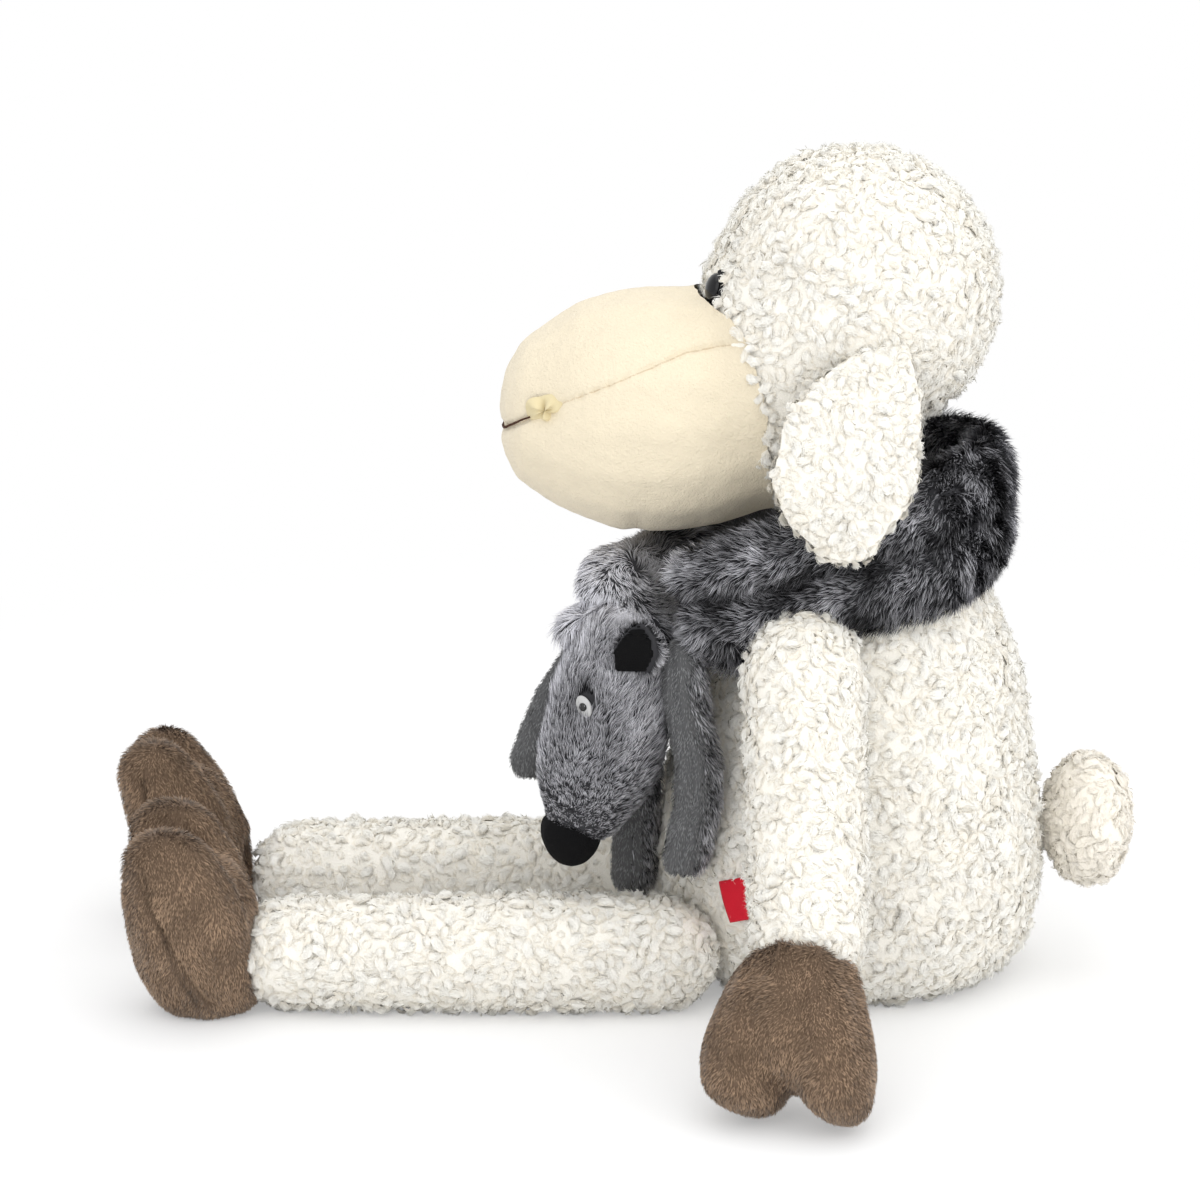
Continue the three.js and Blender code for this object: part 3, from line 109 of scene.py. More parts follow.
class SheepWoolSettings(bpy.types.PropertyGroup):
    """The curly wool of the sheep."""

    curl_length: length_property("Curl length", "Length of one curl along its bend", 9 * MM)
    curl_radius: length_property("Curl radius", "Thickest radius of a curl", 2.9 * MM)
    curl_spacing: length_property("Curl spacing", "Distance from curl to curl", 4.75 * MM)
    lock_width: length_property("Lock width", "Width of a fine lock on a curl", 0.5 * MM)
    tip: colour_property("Wool", "Colour of the tops of the curls", (0.965, 0.95, 0.895))
    # The crevice colour is painted shade: a darker cream put low between the curls, where shade falls
    root: colour_property("Wool crevice", "Colour between the curls", (0.94, 0.89, 0.785))
    # The tail's colour is brighter and warmer than the wool: partly a warmer tint, partly painted
    # light on a tail that lies away from the lamps
    tail_tip: colour_property("Tail wool", "Colour of the tail's curls", (1.0, 0.95, 0.86))
    seed: IntProperty(name="Seed", description="Order of the random draws", default=7)


class SheepFurSettings(bpy.types.PropertyGroup):
    """The long fur of the wolf skin."""

    length: length_property("Fur length", "Length of the longest strands", 9 * MM)
    width: length_property("Strand width", "Width of a lock of strands at its root", 0.48 * MM)
    tip: colour_property("Silver tips", "Colour of the tips", (0.78, 0.78, 0.83))
    root: colour_property("Dark roots", "Colour of the roots", (0.02, 0.02, 0.024))
    smooth: colour_property("Smooth side", "Colour of the skin's short pile", (0.33, 0.335, 0.345))
    density: density_property("Strands per square millimetre", 1.4)


class SheepHoofSettings(bpy.types.PropertyGroup):
    """The short pile of hands and feet."""

    length: length_property("Pile length", "Length of the pile", 2.8 * MM)
    width: length_property("Pile width", "Width of a tuft of pile", 0.5 * MM)
    tip: colour_property("Hoof", "Colour of the pile's tips", (0.4, 0.275, 0.182))
    root: colour_property("Hoof root", "Colour of the pile's roots", (0.15, 0.1, 0.068))
    density: density_property("Tufts per square millimetre", 1.7)


class SheepFaceSettings(bpy.types.PropertyGroup):
    """The smooth muzzle with its seam, mouth and eyes."""

    velour: colour_property("Muzzle", "Colour of the muzzle's velour", (0.775, 0.69, 0.53))
    # Painted shade along the seam grooves of the muzzle
    seam_shade: colour_property("Seam", "Colour in the seams", (0.42, 0.28, 0.15))
    tuck: colour_property("Tuck", "Colour of the gathered mouth corner", (0.68, 0.59, 0.37))
    stitch: colour_property("Stitch", "Colour of the mouth's thread", (0.07, 0.03, 0.018))
    seam_depth: length_property("Seam depth", "Depth of the cheek seam", 1.3 * MM)


class SheepStageSettings(bpy.types.PropertyGroup):
    """Floor and camera."""

    floor: colour_property("Floor", "Colour of the floor", (0.93, 0.93, 0.93))
    distance: length_property("Camera distance", "From the camera to its target", 1.9)
    width: length_property("Camera width", "Width of the view at the target", 0.6)


# Numbers


def unit(rows):
    """Rows scaled to length one."""
    return rows / np.maximum(np.linalg.norm(rows, axis=-1, keepdims=True), 1e-9)


def bell(values, width):
    """1 where values are 0, and less to both sides over a width."""
    return np.exp(-((values / width) ** 2))


def ramp(values, start, end):
    """0 up to a start, then evenly more to 1 at an end."""
    return np.clip((values - start) / (end - start), 0, 1)


def interpolated(values, table):
    """Values looked up in a table of pairs."""
    return np.interp(values, *np.array(table).T)


def paired(*kinds):
    """Numbers, kinds and sides of the pieces that come in pairs."""
    return ((i, kind, word) for i, (kind, word) in enumerate(itertools.product(kinds, SIDES)))


def centre_of(node):
    """The middle of a node's box."""
    low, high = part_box(node)
    return np.array((low + high) / 2)


def tree_of(points):
    """A search tree of points."""
    tree = KDTree(len(points))
    for i, point in enumerate(points):
        tree.insert(point, i)
    tree.balance()
    return tree


def nearest(place, others):
    """For each place, the number of the nearest of other points."""
    tree = tree_of(others)
    return np.array([tree.find(point)[1] for point in place])


def distances(place, others):
    """How far each place is from the nearest of other points."""
    tree = tree_of(others)
    return np.array([tree.find(point)[2] for point in place])


def from_pair(place, kind):
    """How far each place is from the nearer middle of a left and a right node."""
    middles = (centre_of(f"{kind}_{word}") for word in SIDES)
    return np.min([np.linalg.norm(place - middle, axis=1) for middle in middles], axis=0)


def patches(place, size, rng, waves=7):
    """A smooth random field over places, from about -1 to 1, that changes over a size."""
    runs = unit(rng.normal(0, 1, (waves, 3))) * (2 * np.pi / size)
    runs = runs * rng.uniform(0.6, 1.6, (waves, 1))
    return np.cos(place @ runs.T + rng.uniform(0, 2 * np.pi, waves)).sum(1) / math.sqrt(waves)


def swirl(place, size, rng):
    """A smooth random direction field over places."""
    return np.stack([patches(place, size, rng, 4) for _ in range(3)], axis=-1)


def along_skin(direction, normals):
    """A direction laid into the skin."""
    direction = np.broadcast_to(direction, normals.shape)
    return unit(direction - normals * (direction * normals).sum(-1, keepdims=True))


def line_offset(flat, line):
    """Signed distance of flat points from a line of points; positive on its left."""
    line = np.array(line)
    best = np.full(len(flat), 1.0)
    sign = np.zeros(len(flat))
    for a, b in zip(line[:-1], line[1:]):
        run = b - a
        share = np.clip((flat - a) @ run / (run @ run), 0, 1)[:, None]
        away = flat - (a + share * run)
        distance = np.linalg.norm(away, axis=1)
        nearer = distance < best
        best = np.where(nearer, distance, best)
        sign = np.where(nearer, run[0] * away[:, 1] - run[1] * away[:, 0], sign)
    return best * np.sign(sign)


# Faces, as arrays of point numbers


def woven(grid):
    """Quads between the neighbours of a grid."""
    corners = [grid[:-1, :-1], grid[:-1, 1:], grid[1:, 1:], grid[1:, :-1]]
    return np.stack(corners, axis=-1).reshape(-1, 4)


def closed(grid):
    """A grid whose rows come back to their start."""
    return np.hstack([grid, grid[:, :1]])


def fan(ring, middle):
    """Triangles from a closed ring to a middle point."""
    return np.stack([np.full(len(ring), middle), np.roll(ring, -1), ring], axis=-1)


# Pieces and forms


def new_piece(name, node, material, points, faces, fibre=None, facing=None, stands=True):
    """A piece that rides with a node and stands for it, pressed flat where it meets the floor.

    Fibres also give a value pair for each point and the direction that it is lit from.
    """
    points = np.array(points, np.float32)
    np.maximum(points[:, 2], 0, out=points[:, 2])
    corners = np.concatenate([group.ravel() for group in faces])
    totals = np.concatenate([np.full(len(group), group.shape[1]) for group in faces])
    mesh = bpy.data.meshes.new(name)
    mesh.vertices.add(len(points))
    mesh.vertices.foreach_set("co", points.ravel())
    mesh.loops.add(len(corners))
    mesh.loops.foreach_set("vertex_index", corners.astype(np.int32))
    mesh.polygons.add(len(totals))
    mesh.polygons.foreach_set("loop_start", (np.cumsum(totals) - totals).astype(np.int32))
    mesh.polygons.foreach_set("use_smooth", np.full(len(totals), True))
    if fibre is not None:
        layer = mesh.uv_layers.new(name=FIBRE_UV)
        layer.data.foreach_set("uv", np.asarray(fibre, np.float32)[corners].ravel())
    mesh.update(calc_edges=True)
    if facing is not None:
        mesh.normals_split_custom_set_from_vertices(np.asarray(facing, np.float32))
    mesh.materials.append(material)
    piece = bpy.data.objects.new(name, mesh)
    bpy.context.scene.collection.objects.link(piece)
    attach(piece, frame["nodes"][node]["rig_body"])
    if stands:
        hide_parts(node)
    return piece


def cloth_piece(name, node, material, form):
    """A form as a smooth piece of cloth."""
    return new_piece(name, node, material, form.points, [form.triangles])


def fibre_piece(name, node, slot, material, *parts, stands=True):
    """A piece of skin and fibres; a part has points, groups of faces, value pairs and directions."""
    faces, base = [], 0
    for points, groups, _, _ in parts:
        faces += [group + base for group in groups]
        base += len(points)
    points, fibre, facing = (np.concatenate([part[i] for part in parts]) for i in (0, 2, 3))
    return new_piece(name, node, material, points, faces, fibre, facing, stands)


def skin_part(form, height=0.0):
    """The bare skin of a form, coloured as its fibres are at a height."""
    fibre = np.broadcast_to([0.5, height], (len(form.points), 2))
    return form.points, [form.triangles], fibre, unit(form.normals)


def solid_of(nodes, hull):
    """A mesh of some nodes' surfaces, or of the hull around them."""
    shell = bmesh.new()
    for node in nodes:
        shell.from_mesh(frame["nodes"][node].data)
    bmesh.ops.remove_doubles(shell, verts=shell.verts, dist=0.01 * MM)
    if hull:
        made = bmesh.ops.convex_hull(shell, input=shell.verts)["geom"]
        keep = {part for part in made if isinstance(part, bmesh.types.BMFace)}
        inner = [face for face in shell.faces if face not in keep]
        bmesh.ops.delete(shell, geom=inner, context="FACES")
        loose = [point for point in shell.verts if not point.link_faces]
        bmesh.ops.delete(shell, geom=loose, context="VERTS")
        bmesh.ops.recalc_face_normals(shell, faces=shell.faces)
    mesh = bpy.data.meshes.new("solid")
    shell.to_mesh(mesh)
    shell.free()
    return mesh


def rows_of(items, key, kind=float):
    """Rows of three numbers read from the items of a mesh."""
    values = np.empty(len(items) * 3, kind)
    items.foreach_get(key, values)
    return values.reshape(-1, 3)


def form_of(nodes, voxel, passes, hull=False, grow=0.0, levels=0, beside=()):
    """The smoothed outside of some nodes, and of others beside them, grown by a distance."""
    both = bmesh.new()
    for group in filter(None, (nodes, beside)):
        solid = solid_of(group, hull)
        both.from_mesh(solid)
        bpy.data.meshes.remove(solid)
    mesh = bpy.data.meshes.new("form")
    both.to_mesh(mesh)
    both.free()
    helper = bpy.data.objects.new("form", mesh)
    bpy.context.scene.collection.objects.link(helper)
    steps = [
        ("REMESH", {"mode": "VOXEL", "voxel_size": voxel}),
        ("SMOOTH", {"factor": 0.5, "iterations": passes}),
    ]
    if levels:
        steps.append(("SUBSURF", {"levels": levels, "render_levels": levels}))
    for kind, values in (*steps, ("TRIANGULATE", {})):
        modifier = helper.modifiers.new(kind, kind)
        for key, value in values.items():
            setattr(modifier, key, value)
    depsgraph = bpy.context.evaluated_depsgraph_get()
    made = bpy.data.meshes.new_from_object(helper.evaluated_get(depsgraph))
    points, normals = rows_of(made.vertices, "co"), rows_of(made.vertex_normals, "vector")
    triangles = rows_of(made.polygons, "vertices", int)
    bpy.data.objects.remove(helper)
    bpy.data.meshes.remove(made)
    bpy.data.meshes.remove(mesh)
    return Form(points + grow * normals, normals, triangles)


def renewed(points, triangles):
    """Points and triangles as a form, with normals taken from the triangles."""
    corners = points[triangles]
    facing = np.cross(corners[:, 1] - corners[:, 0], corners[:, 2] - corners[:, 0])
    normals = np.zeros_like(points)
    for corner in range(3):
        np.add.at(normals, triangles[:, corner], facing)
    return Form(points, unit(normals), triangles)


def cut(form, chosen):
    """The part of a form with the chosen triangles, and the numbers of the points in it."""
    used, faces = np.unique(form.triangles[chosen], return_inverse=True)
    return Form(form.points[used], form.normals[used], faces.reshape(-1, 3)), used


def scattered(form, density, rng):
    """Random points on a form, so many per square metre, with their normals."""
    points, normals, triangles = form
    a, b, c = (points[triangles[:, i]] for i in range(3))
    areas = np.linalg.norm(np.cross(b - a, c - a), axis=1) / 2
    count = int(areas.sum() * density)
    picked = rng.choice(len(triangles), count, p=areas / areas.sum())
    s, t = rng.random((2, count, 1))
    over = s + t > 1
    s, t = np.where(over, 1 - s, s), np.where(over, 1 - t, t)
    share = np.stack([1 - s - t, s, t])
    corners = triangles[picked]
    place = sum(share[i] * points[corners[:, i]] for i in range(3))
    facing = sum(share[i] * normals[corners[:, i]] for i in range(3))
    return place, unit(facing)


# How many points are tried in a square whose side is the spacing
SPACED_TRIES = 11.0


def spaced(form, spacing, rng):
    """Random points on a form that keep a spacing from each other."""
    place, facing = scattered(form, SPACED_TRIES / spacing**2, rng)
    cells, kept = {}, []
    keys = np.floor(place / spacing).astype(int).tolist()
    for i, (key, point) in enumerate(zip(keys, place.tolist())):
        around = itertools.product(*((k - 1, k, k + 1) for k in key))
        if all(math.dist(point, other) > spacing for cell in around for other in cells.get(cell, ())):
            cells.setdefault(tuple(key), []).append(point)
            kept.append(i)
    return place[kept], facing[kept]


# Fibres

# Rings along a curl's smooth core and points across it, and the fine locks on it
CURL_RINGS, CURL_SIDES, CURL_LOCKS = 5, 5, 17
CORE_POINTS = CURL_RINGS * CURL_SIDES
LOCK_POINTS = 5
# How much of a curl's thickness its smooth core takes up
CURL_CORE = 0.82
# How far the light on a curl follows the skin rather than the curl's own roundness
CURL_SOFTNESS = 1.9
# How far the core and the locks reach round a curl from its top, in radians
CORE_TURN, LOCK_TURN = 1.9, 1.5
# Ranges of a curl's size, of its bend in radians and of its lift in radii, and its spread of aim
CURL_SIZES, CURL_BENDS, CURL_LIFTS, CURL_YAW = (0.72, 1.3), (1.3, 2.9), (0.3, 1.0), 1.3
# How deep a curl's middle line starts in the skin, in radii
CURL_SUNK = 0.55
# How far along the curl a lock's middle and tip lie from its root
LOCK_MIDDLE, LOCK_TIP = 0.17, 0.36
# How far out the tips of locks stand, in radii, and how many stand further still
TIP_REACH, TIP_STRAY, STRAY_SHARE = (1.03, 1.5), 0.4, 0.15


def curls(place, facing, lay, rng, wool, scale=1.0):
    """Fat bent curls that rise from the skin and dive back into it, each with fine locks."""
    count = len(place)
    radius = wool.curl_radius
    size = scale * rng.uniform(*CURL_SIZES, (count, 1))
    yaw = rng.normal(0, CURL_YAW, (count, 1))
    bend = rng.uniform(*CURL_BENDS, (count, 1)) * rng.choice([-1, 1], (count, 1))
    lift = rng.uniform(*CURL_LIFTS, (count, 1)) * radius
    ahead = along_skin(lay, facing)
    aside = np.cross(facing, ahead)
    cos, sin = np.cos(yaw), np.sin(yaw)
    axes = np.stack([ahead * cos + aside * sin, aside * cos - ahead * sin, facing], axis=1)
    arc = wool.curl_length * size / bend

    def bent(along, turn, reach):
        """Points beside the curl's middle line and their directions, in the curl's own axes."""
        heading = bend * (along - 0.5)
        swell = np.sin(np.pi * (0.06 + 0.88 * along))
        thick = radius * size * (0.35 + 0.65 * swell) * reach
        across, up = np.sin(turn), np.cos(turn)
        spot = [
            arc * np.sin(heading) - np.sin(heading) * across * thick,
            arc * (0.9 - np.cos(heading)) + np.cos(heading) * across * thick,
            lift * swell - CURL_SUNK * radius + thick * 0.9 * up,
        ]
        out = [-np.sin(heading) * across, np.cos(heading) * across, up + CURL_SOFTNESS]
        return np.stack(np.broadcast_arrays(*spot, *out), axis=-1)

    steps, turns = np.meshgrid(
        np.linspace(0, 1, CURL_RINGS), np.linspace(-CORE_TURN, CORE_TURN, CURL_SIDES), indexing="ij"
    )
    uneven = CURL_CORE + rng.normal(0, 0.05, (count, CORE_POINTS))
    core = bent(steps.reshape(1, -1), turns.reshape(1, -1), uneven)
    start = rng.uniform(-0.02, 0.66, (count, CURL_LOCKS))
    turn = rng.uniform(-LOCK_TURN, LOCK_TURN, (count, CURL_LOCKS))
    drift = rng.normal(0, 0.6, (count, CURL_LOCKS))
    stray = rng.uniform(*TIP_REACH, start.shape)
    stray += TIP_STRAY * (rng.random(start.shape) < STRAY_SHARE)
    half = wool.lock_width / (2 * radius)
    locks = [bent(start, turn + edge, CURL_CORE) for edge in (-half, half)]
    for edge in (-half, half):
        locks.append(bent(start + LOCK_MIDDLE, turn + drift * 0.5 + edge, 1.1))
    locks.append(bent(start + LOCK_TIP, turn + drift, stray))
    local = np.concatenate([core, np.stack(locks, axis=2).reshape(count, -1, 6)], axis=1)
    points = place[:, None] + np.einsum("nkj,njd->nkd", local[..., :3], axes)
    outward = unit(np.einsum("nkj,njd->nkd", local[..., 3:], axes))
    # Height above the skin sets the colour: low parts take the painted shade of the crevices, the tops
    # the wool colour
    height = np.clip(local[..., 2] / (2.2 * radius) + 0.15, 0, 1)
    own = np.repeat(rng.random(start.shape), LOCK_POINTS, axis=1)
    shade = np.concatenate([np.full((count, CORE_POINTS), 0.5), own], axis=1)
    fibre = np.stack([shade, height], axis=-1).reshape(-1, 2)
    return points.reshape(-1, 3), curl_faces(count), fibre, outward.reshape(-1, 3)


def curl_faces(count):
    """Quads between the rings of each curl, then a quad and a triangle for each lock."""
    core = np.arange(CORE_POINTS).reshape(CURL_RINGS, CURL_SIDES).T
    lock = CORE_POINTS + LOCK_POINTS * np.arange(CURL_LOCKS)[:, None]
    groups = np.concatenate([woven(core), lock + [0, 2, 3, 1]]), lock + [2, 4, 3]
    base = np.arange(count)[:, None, None] * (CORE_POINTS + LOCK_POINTS * CURL_LOCKS)
    return [(group + base).reshape(-1, group.shape[1]) for group in groups]


# Ranges of a strand's rise from the skin, and of its share of the full length and width
STRAND_RISES, STRAND_LENGTHS, STRAND_WIDTHS = (0.5, 1.5), (0.6, 1.15), (0.7, 1.2)
# How far strands stray from the flow, how far they twist in radians, and how their shades differ
STRAND_STRAY, STRAND_TWIST, STRAND_SHADES = 0.28, 0.9, 0.22
STRAND_ROOT = 0.4 * MM
# How many of the strands lead a lock, and how far the tips of the others lean to theirs
LEADERS, LEADER_PULL = 0.03, 0.3


def strands(place, facing, flow, rng, length, width, lift, clump=0.0, shade=0.5, droop=0.15):
    """Tapered ribbons: each leaves the skin, bends over along the flow and ends in a tip."""
    count = len(place)
    lift = np.broadcast_to(lift, count)[:, None]
    flow = along_skin(flow, facing)
    flow = unit(flow + along_skin(rng.normal(0, 1, (count, 3)), facing) * STRAND_STRAY)
    rise = lift * rng.uniform(*STRAND_RISES, (count, 1))
    start = unit(facing * rise + flow * (1 - lift))
    end = unit(start + flow * 0.5 + DOWN * droop)
    reach = (length * rng.uniform(*STRAND_LENGTHS, count))[:, None]
    middle = place + start * reach * 0.5
    tip = middle + end * reach * 0.5
    if clump:
        tip = tip + (clump_tips(place, tip, rng, clump) - tip) * LEADER_PULL
    roll = rng.uniform(-STRAND_TWIST, STRAND_TWIST, (count, 1))
    side = unit(np.cross(start, facing) * np.cos(roll) + facing * np.sin(roll))
    half = side * (width * rng.uniform(*STRAND_WIDTHS, (count, 1))) / 2
    sunk = place - facing * STRAND_ROOT
    points = [sunk - half, sunk + half, middle - half * 0.8, middle + half * 0.8, tip]
    own = np.clip(shade + rng.uniform(-STRAND_SHADES, STRAND_SHADES, count), 0, 1)[:, None]
    pale = 1.5 * np.clip(np.broadcast_to(shade, count) - 0.6, 0, 0.45)[:, None]
    along = np.array([0.0, 0.0, 0.5, 0.5, 1.0]) * (1 - pale) + pale
    base = (np.arange(count) * len(points))[:, None]
    fibre = np.stack([np.broadcast_to(own, along.shape), along], axis=-1)
    lit = unit(facing + 0.3 * start + 0.25 * rng.normal(0, 1, (count, 3)))
    return (
        np.stack(points, axis=1).reshape(-1, 3), [base + [0, 1, 3, 2], base + [2, 3, 4]],
        fibre.reshape(-1, 2), np.repeat(lit, len(points), axis=0),
    )


def clump_tips(place, tips, rng, spacing):
    """For each strand, the tip of the lock that it leans to."""
    count = max(int(len(place) * LEADERS), 1)
    chosen = rng.choice(len(place), count, replace=False)
    goal = tips[chosen][nearest(place, place[chosen])]
    far = np.linalg.norm(goal - tips, axis=1, keepdims=True) > spacing
    return np.where(far, tips, goal)


# Shader nodes


def feed(node, values):
    """Gives a node's inputs their values, or the sockets that feed them."""
    for key, value in dict(values).items():
        if isinstance(value, bpy.types.NodeSocket):
            node.id_data.links.new(value, node.inputs[key])
        else:
            node.inputs[key].default_value = value


def add(tree, kind, values=(), **settings):
    """The outputs of a new node with its settings and inputs."""
    node = tree.nodes.new(f"ShaderNode{kind}")
    for key, value in settings.items():
        setattr(node, key, value)
    feed(node, values)
    return node.outputs


def mixed(tree, share, first, second):
    """A colour between two."""
    return add(tree, "Mix", {"Factor": share, "A": first, "B": second}, data_type="RGBA")["Result"]


def ranged(tree, value, low, high, start=0.0, end=1.0, kind="LINEAR"):
    """A value carried from one range to another."""
    values = {"Value": value, "From Min": start, "From Max": end, "To Min": low, "To Max": high}
    return add(tree, "MapRange", values, interpolation_type=kind)["Result"]


def shader_group(name, inputs, outputs, build):
    """A shader group, made once; build gives what it puts out from what it is given."""
    if name in bpy.data.node_groups:
        return bpy.data.node_groups[name]
    group = bpy.data.node_groups.new(name, "ShaderNodeTree")
    for way, sockets in (("INPUT", inputs), ("OUTPUT", outputs)):
        for socket, kind, *default in sockets:
            kind = f"NodeSocket{kind}"
            made = group.interface.new_socket(name=socket, in_out=way, socket_type=kind)
            if default:
                made.default_value = default[0]
    given = group.nodes.new("NodeGroupInput").outputs
    feed(group.nodes.new("NodeGroupOutput"), build(group, given))
    return group


def fibre_group():
    """Colour of a fibre from its root to its tip, with its own shade."""
    inputs = [
        ("Fibre", "Vector"), ("Root", "Color"), ("Tip", "Color"), ("Start", "Float", 0.0),
        ("End", "Float", 1.0), ("Darkest", "Float", 0.8), ("Lightest", "Float", 1.0),
    ]

    def build(group, given):
        own, along = (add(group, "SeparateXYZ", {0: given["Fibre"]})[key] for key in "XY")
        rise = ranged(group, along, 0.0, 1.0, given["Start"], given["End"], "SMOOTHSTEP")
        colour = mixed(group, rise, given["Root"], given["Tip"])
        level = ranged(group, own, given["Darkest"], given["Lightest"])
        scaled = add(group, "VectorMath", {0: colour, "Scale": level}, operation="SCALE")
        return {"Color": scaled["Vector"]}

    return shader_group("Fibre shade", inputs, [("Color", "Color")], build)


def nap_group():
    """A fine nap: a mask of soft patches and the height of short fibres."""
    inputs = [("Place", "Vector"), ("Patch scale", "Float", 40.0), ("Fibre scale", "Float", 900.0)]

    def build(group, given):
        out = {}
        for key, scale, detail, rough in (
            ("Patches", "Patch scale", 3.0, 0.6), ("Height", "Fibre scale", 2.0, 0.7)
        ):
            values = {"Vector": given["Place"], "Scale": given[scale], "Detail": detail}
            out[key] = add(group, "TexNoise", {**values, "Roughness": rough})["Fac"]
        return out

    return shader_group("Short nap", inputs, [("Patches", "Float"), ("Height", "Float")], build)


# Materials


def new_material(name):
    """A material, its node tree, its Principled shader and the place on the object."""
    material = bpy.data.materials.new(name)
    material.use_nodes = True
    tree = material.node_tree
    return material, tree, tree.nodes["Principled BSDF"], add(tree, "TexCoord")["Object"]


def once(name, build, *values, **more):
    """The material of a name, built the first time that it is asked for."""
    return bpy.data.materials.get(name) or build(name, *values, **more)


def rgba(colour, share=1.0):
    """A colour made lighter or darker by a share, with full alpha."""
    return (*(min(channel * share, 1) for channel in colour), 1.0)


def nap_of(tree, place, patch_scale, fibre_scale):
    """The patches and the height of a nap."""
    values = {"Place": place, "Patch scale": patch_scale, "Fibre scale": fibre_scale}
    return add(tree, "Group", values, node_tree=nap_group())


def relief(tree, height, strength, distance):
    """A normal from the height of a nap."""
    values = {"Height": height, "Strength": strength, "Distance": distance}
    return add(tree, "Bump", values)["Normal"]


def fibre_material(name, root, tip, start=0.0, end=1.0, dark=0.8, light=1.0, sheen=0.25, bump=0.0):
    """Wool, fur or pile: coloured along its fibres."""
    material, tree, shader, place = new_material(name)
    values = {
        "Fibre": add(tree, "UVMap", uv_map=FIBRE_UV)["UV"], "Root": rgba(root), "Tip": rgba(tip),
        "Start": start, "End": end, "Darkest": dark, "Lightest": light,
    }
    colour = add(tree, "Group", values, node_tree=fibre_group())["Color"]
    feed(shader, {"Base Color": colour, "Roughness": 1.0, "Specular IOR Level": 0.1})
    feed(shader, {"Sheen Weight": sheen})
    if bump:
        height = nap_of(tree, place, 60.0, 1100.0)["Height"]
        feed(shader, {"Normal": relief(tree, height, bump, 0.8 * MM)})
    return material


def nap_material(name, colour, spread=0.06, patches=45.0, fibres=1300.0, strength=0.35, sheen=0.3,
                 depth=0.5 * MM):
    """Short smooth cloth: velour, felt, satin or filling."""
    material, tree, shader, place = new_material(name)
    nap = nap_of(tree, place, patches, fibres)
    feed(shader, {
        "Base Color": mixed(tree, nap["Patches"], rgba(colour, 1 - spread), rgba(colour, 1 + spread)),
        "Normal": relief(tree, nap["Height"], strength, depth),
        "Roughness": 0.95, "Specular IOR Level": 0.15, "Sheen Weight": sheen,
    })
    return material


def gloss_material(name, colour, low, high, specular=0.5):
    """Moulded plastic whose gloss varies a little."""
    material, tree, shader, place = new_material(name)
    noise = add(tree, "TexNoise", {"Vector": place, "Scale": 120.0, "Detail": 2.0})["Fac"]
    feed(shader, {
        "Base Color": mixed(tree, noise, rgba(colour, 0.85), rgba(colour)),
        "Roughness": ranged(tree, noise, low, high), "Specular IOR Level": specular,
    })
    return material


def velour_material(name, face, seamed):
    """Short velour; a seamed one has a thin darker line of painted shade where its seam attribute is
    near 0.
    """
    material = nap_material(
        name, face.velour, patches=38.0, fibres=700.0, strength=1.0, sheen=0.25, depth=0.9 * MM
    )
    if seamed:
        tree = material.node_tree
        shader = tree.nodes["Principled BSDF"]
        cloth = shader.inputs["Base Color"].links[0].from_socket
        away = add(tree, "Attribute", attribute_name="seam")["Fac"]
        # A thin line of painted shade along the seam and the dart
        line = ranged(tree, away, SEAM_SHADE_STRENGTH, 0.0, *SEAM_FADE, "SMOOTHSTEP")
        feed(shader, {"Base Color": mixed(tree, line, cloth, rgba(face.seam_shade))})
    return material


# Wool

# How proud of the rest the curls stand in patches, and the height under which none are rooted
WOOL_UNEVEN = 1.0 * MM
LOWEST_ROOT = 2 * MM


def seeded(context, step):
    """The random draws of one piece of wool."""
    return np.random.default_rng(context.scene.sheep_wool.seed + step)


def wool_piece(context, name, node, form, rng, keep=None, lay=DOWN, scale=1.0, parts=1, tail=False,
               rise=None):
    """A form covered with curls, which stand in several pieces where they are many."""
    wool = context.scene.sheep_wool
    place, facing = spaced(form, wool.curl_spacing * scale, rng)
    chosen = place[:, 2] > LOWEST_ROOT
    if keep is not None:
        chosen &= keep(place)
    place, facing = place[chosen], facing[chosen]
    place = place + facing * (WOOL_UNEVEN * patches(place, 14 * MM, rng))[:, None]
    if rise is not None:
        place = place + facing * rise(place)[:, None]
    # The curls and the bare skin between them are coloured by height, with painted shade low between
    # the curls
    material = once(
        "Tail wool" if tail else "Curly wool", fibre_material, wool.root,
        wool.tail_tip if tail else wool.tip,
        start=0.1, end=0.6, dark=0.93, light=1.02, sheen=0.15, bump=0.7,
    )
    skin = fibre_piece(f"{name}_skin", node, "wool", material, skin_part(form, 0.4))
    for i, group in enumerate(np.array_split(np.argsort(place[:, 1]), parts)):
        made = curls(place[group], facing[group], lay, rng, wool, scale)
        fibre_piece(f"{name}_curls_{i + 1}", node, "wool", material, made, stands=False)


class SHEEP_OT_torso(bpy.types.Operator):
    """Builds the torso's wool and the bare side label"""

    bl_idname = "sheep.torso"
    bl_label = "Torso"

    def execute(self, context):
        form = form_of(["torso_cover"], 4 * MM, 24, hull=True, grow=-0.8 * MM)
        rng = seeded(context, 0)
        wool_piece(context, "torso_wool", "torso_cover", form, rng, parts=2)
        side_label()
        return {"FINISHED"}


# The label's slant, its shift toward the arm, and its points across and up
LABEL_TURN = math.radians(11)
LABEL_SHIFT = 3 * MM
LABEL_GRID = (14, 16)
LABEL_RED = (0.62, 0.012, 0.03)
# How far it bellies out and ripples, and where its front and back layers lie
LABEL_BELLY, LABEL_RIPPLE, LABEL_FRONT, LABEL_BACK = 0.9 * MM, 0.25 * MM, 0.9 * MM, 0.5 * MM


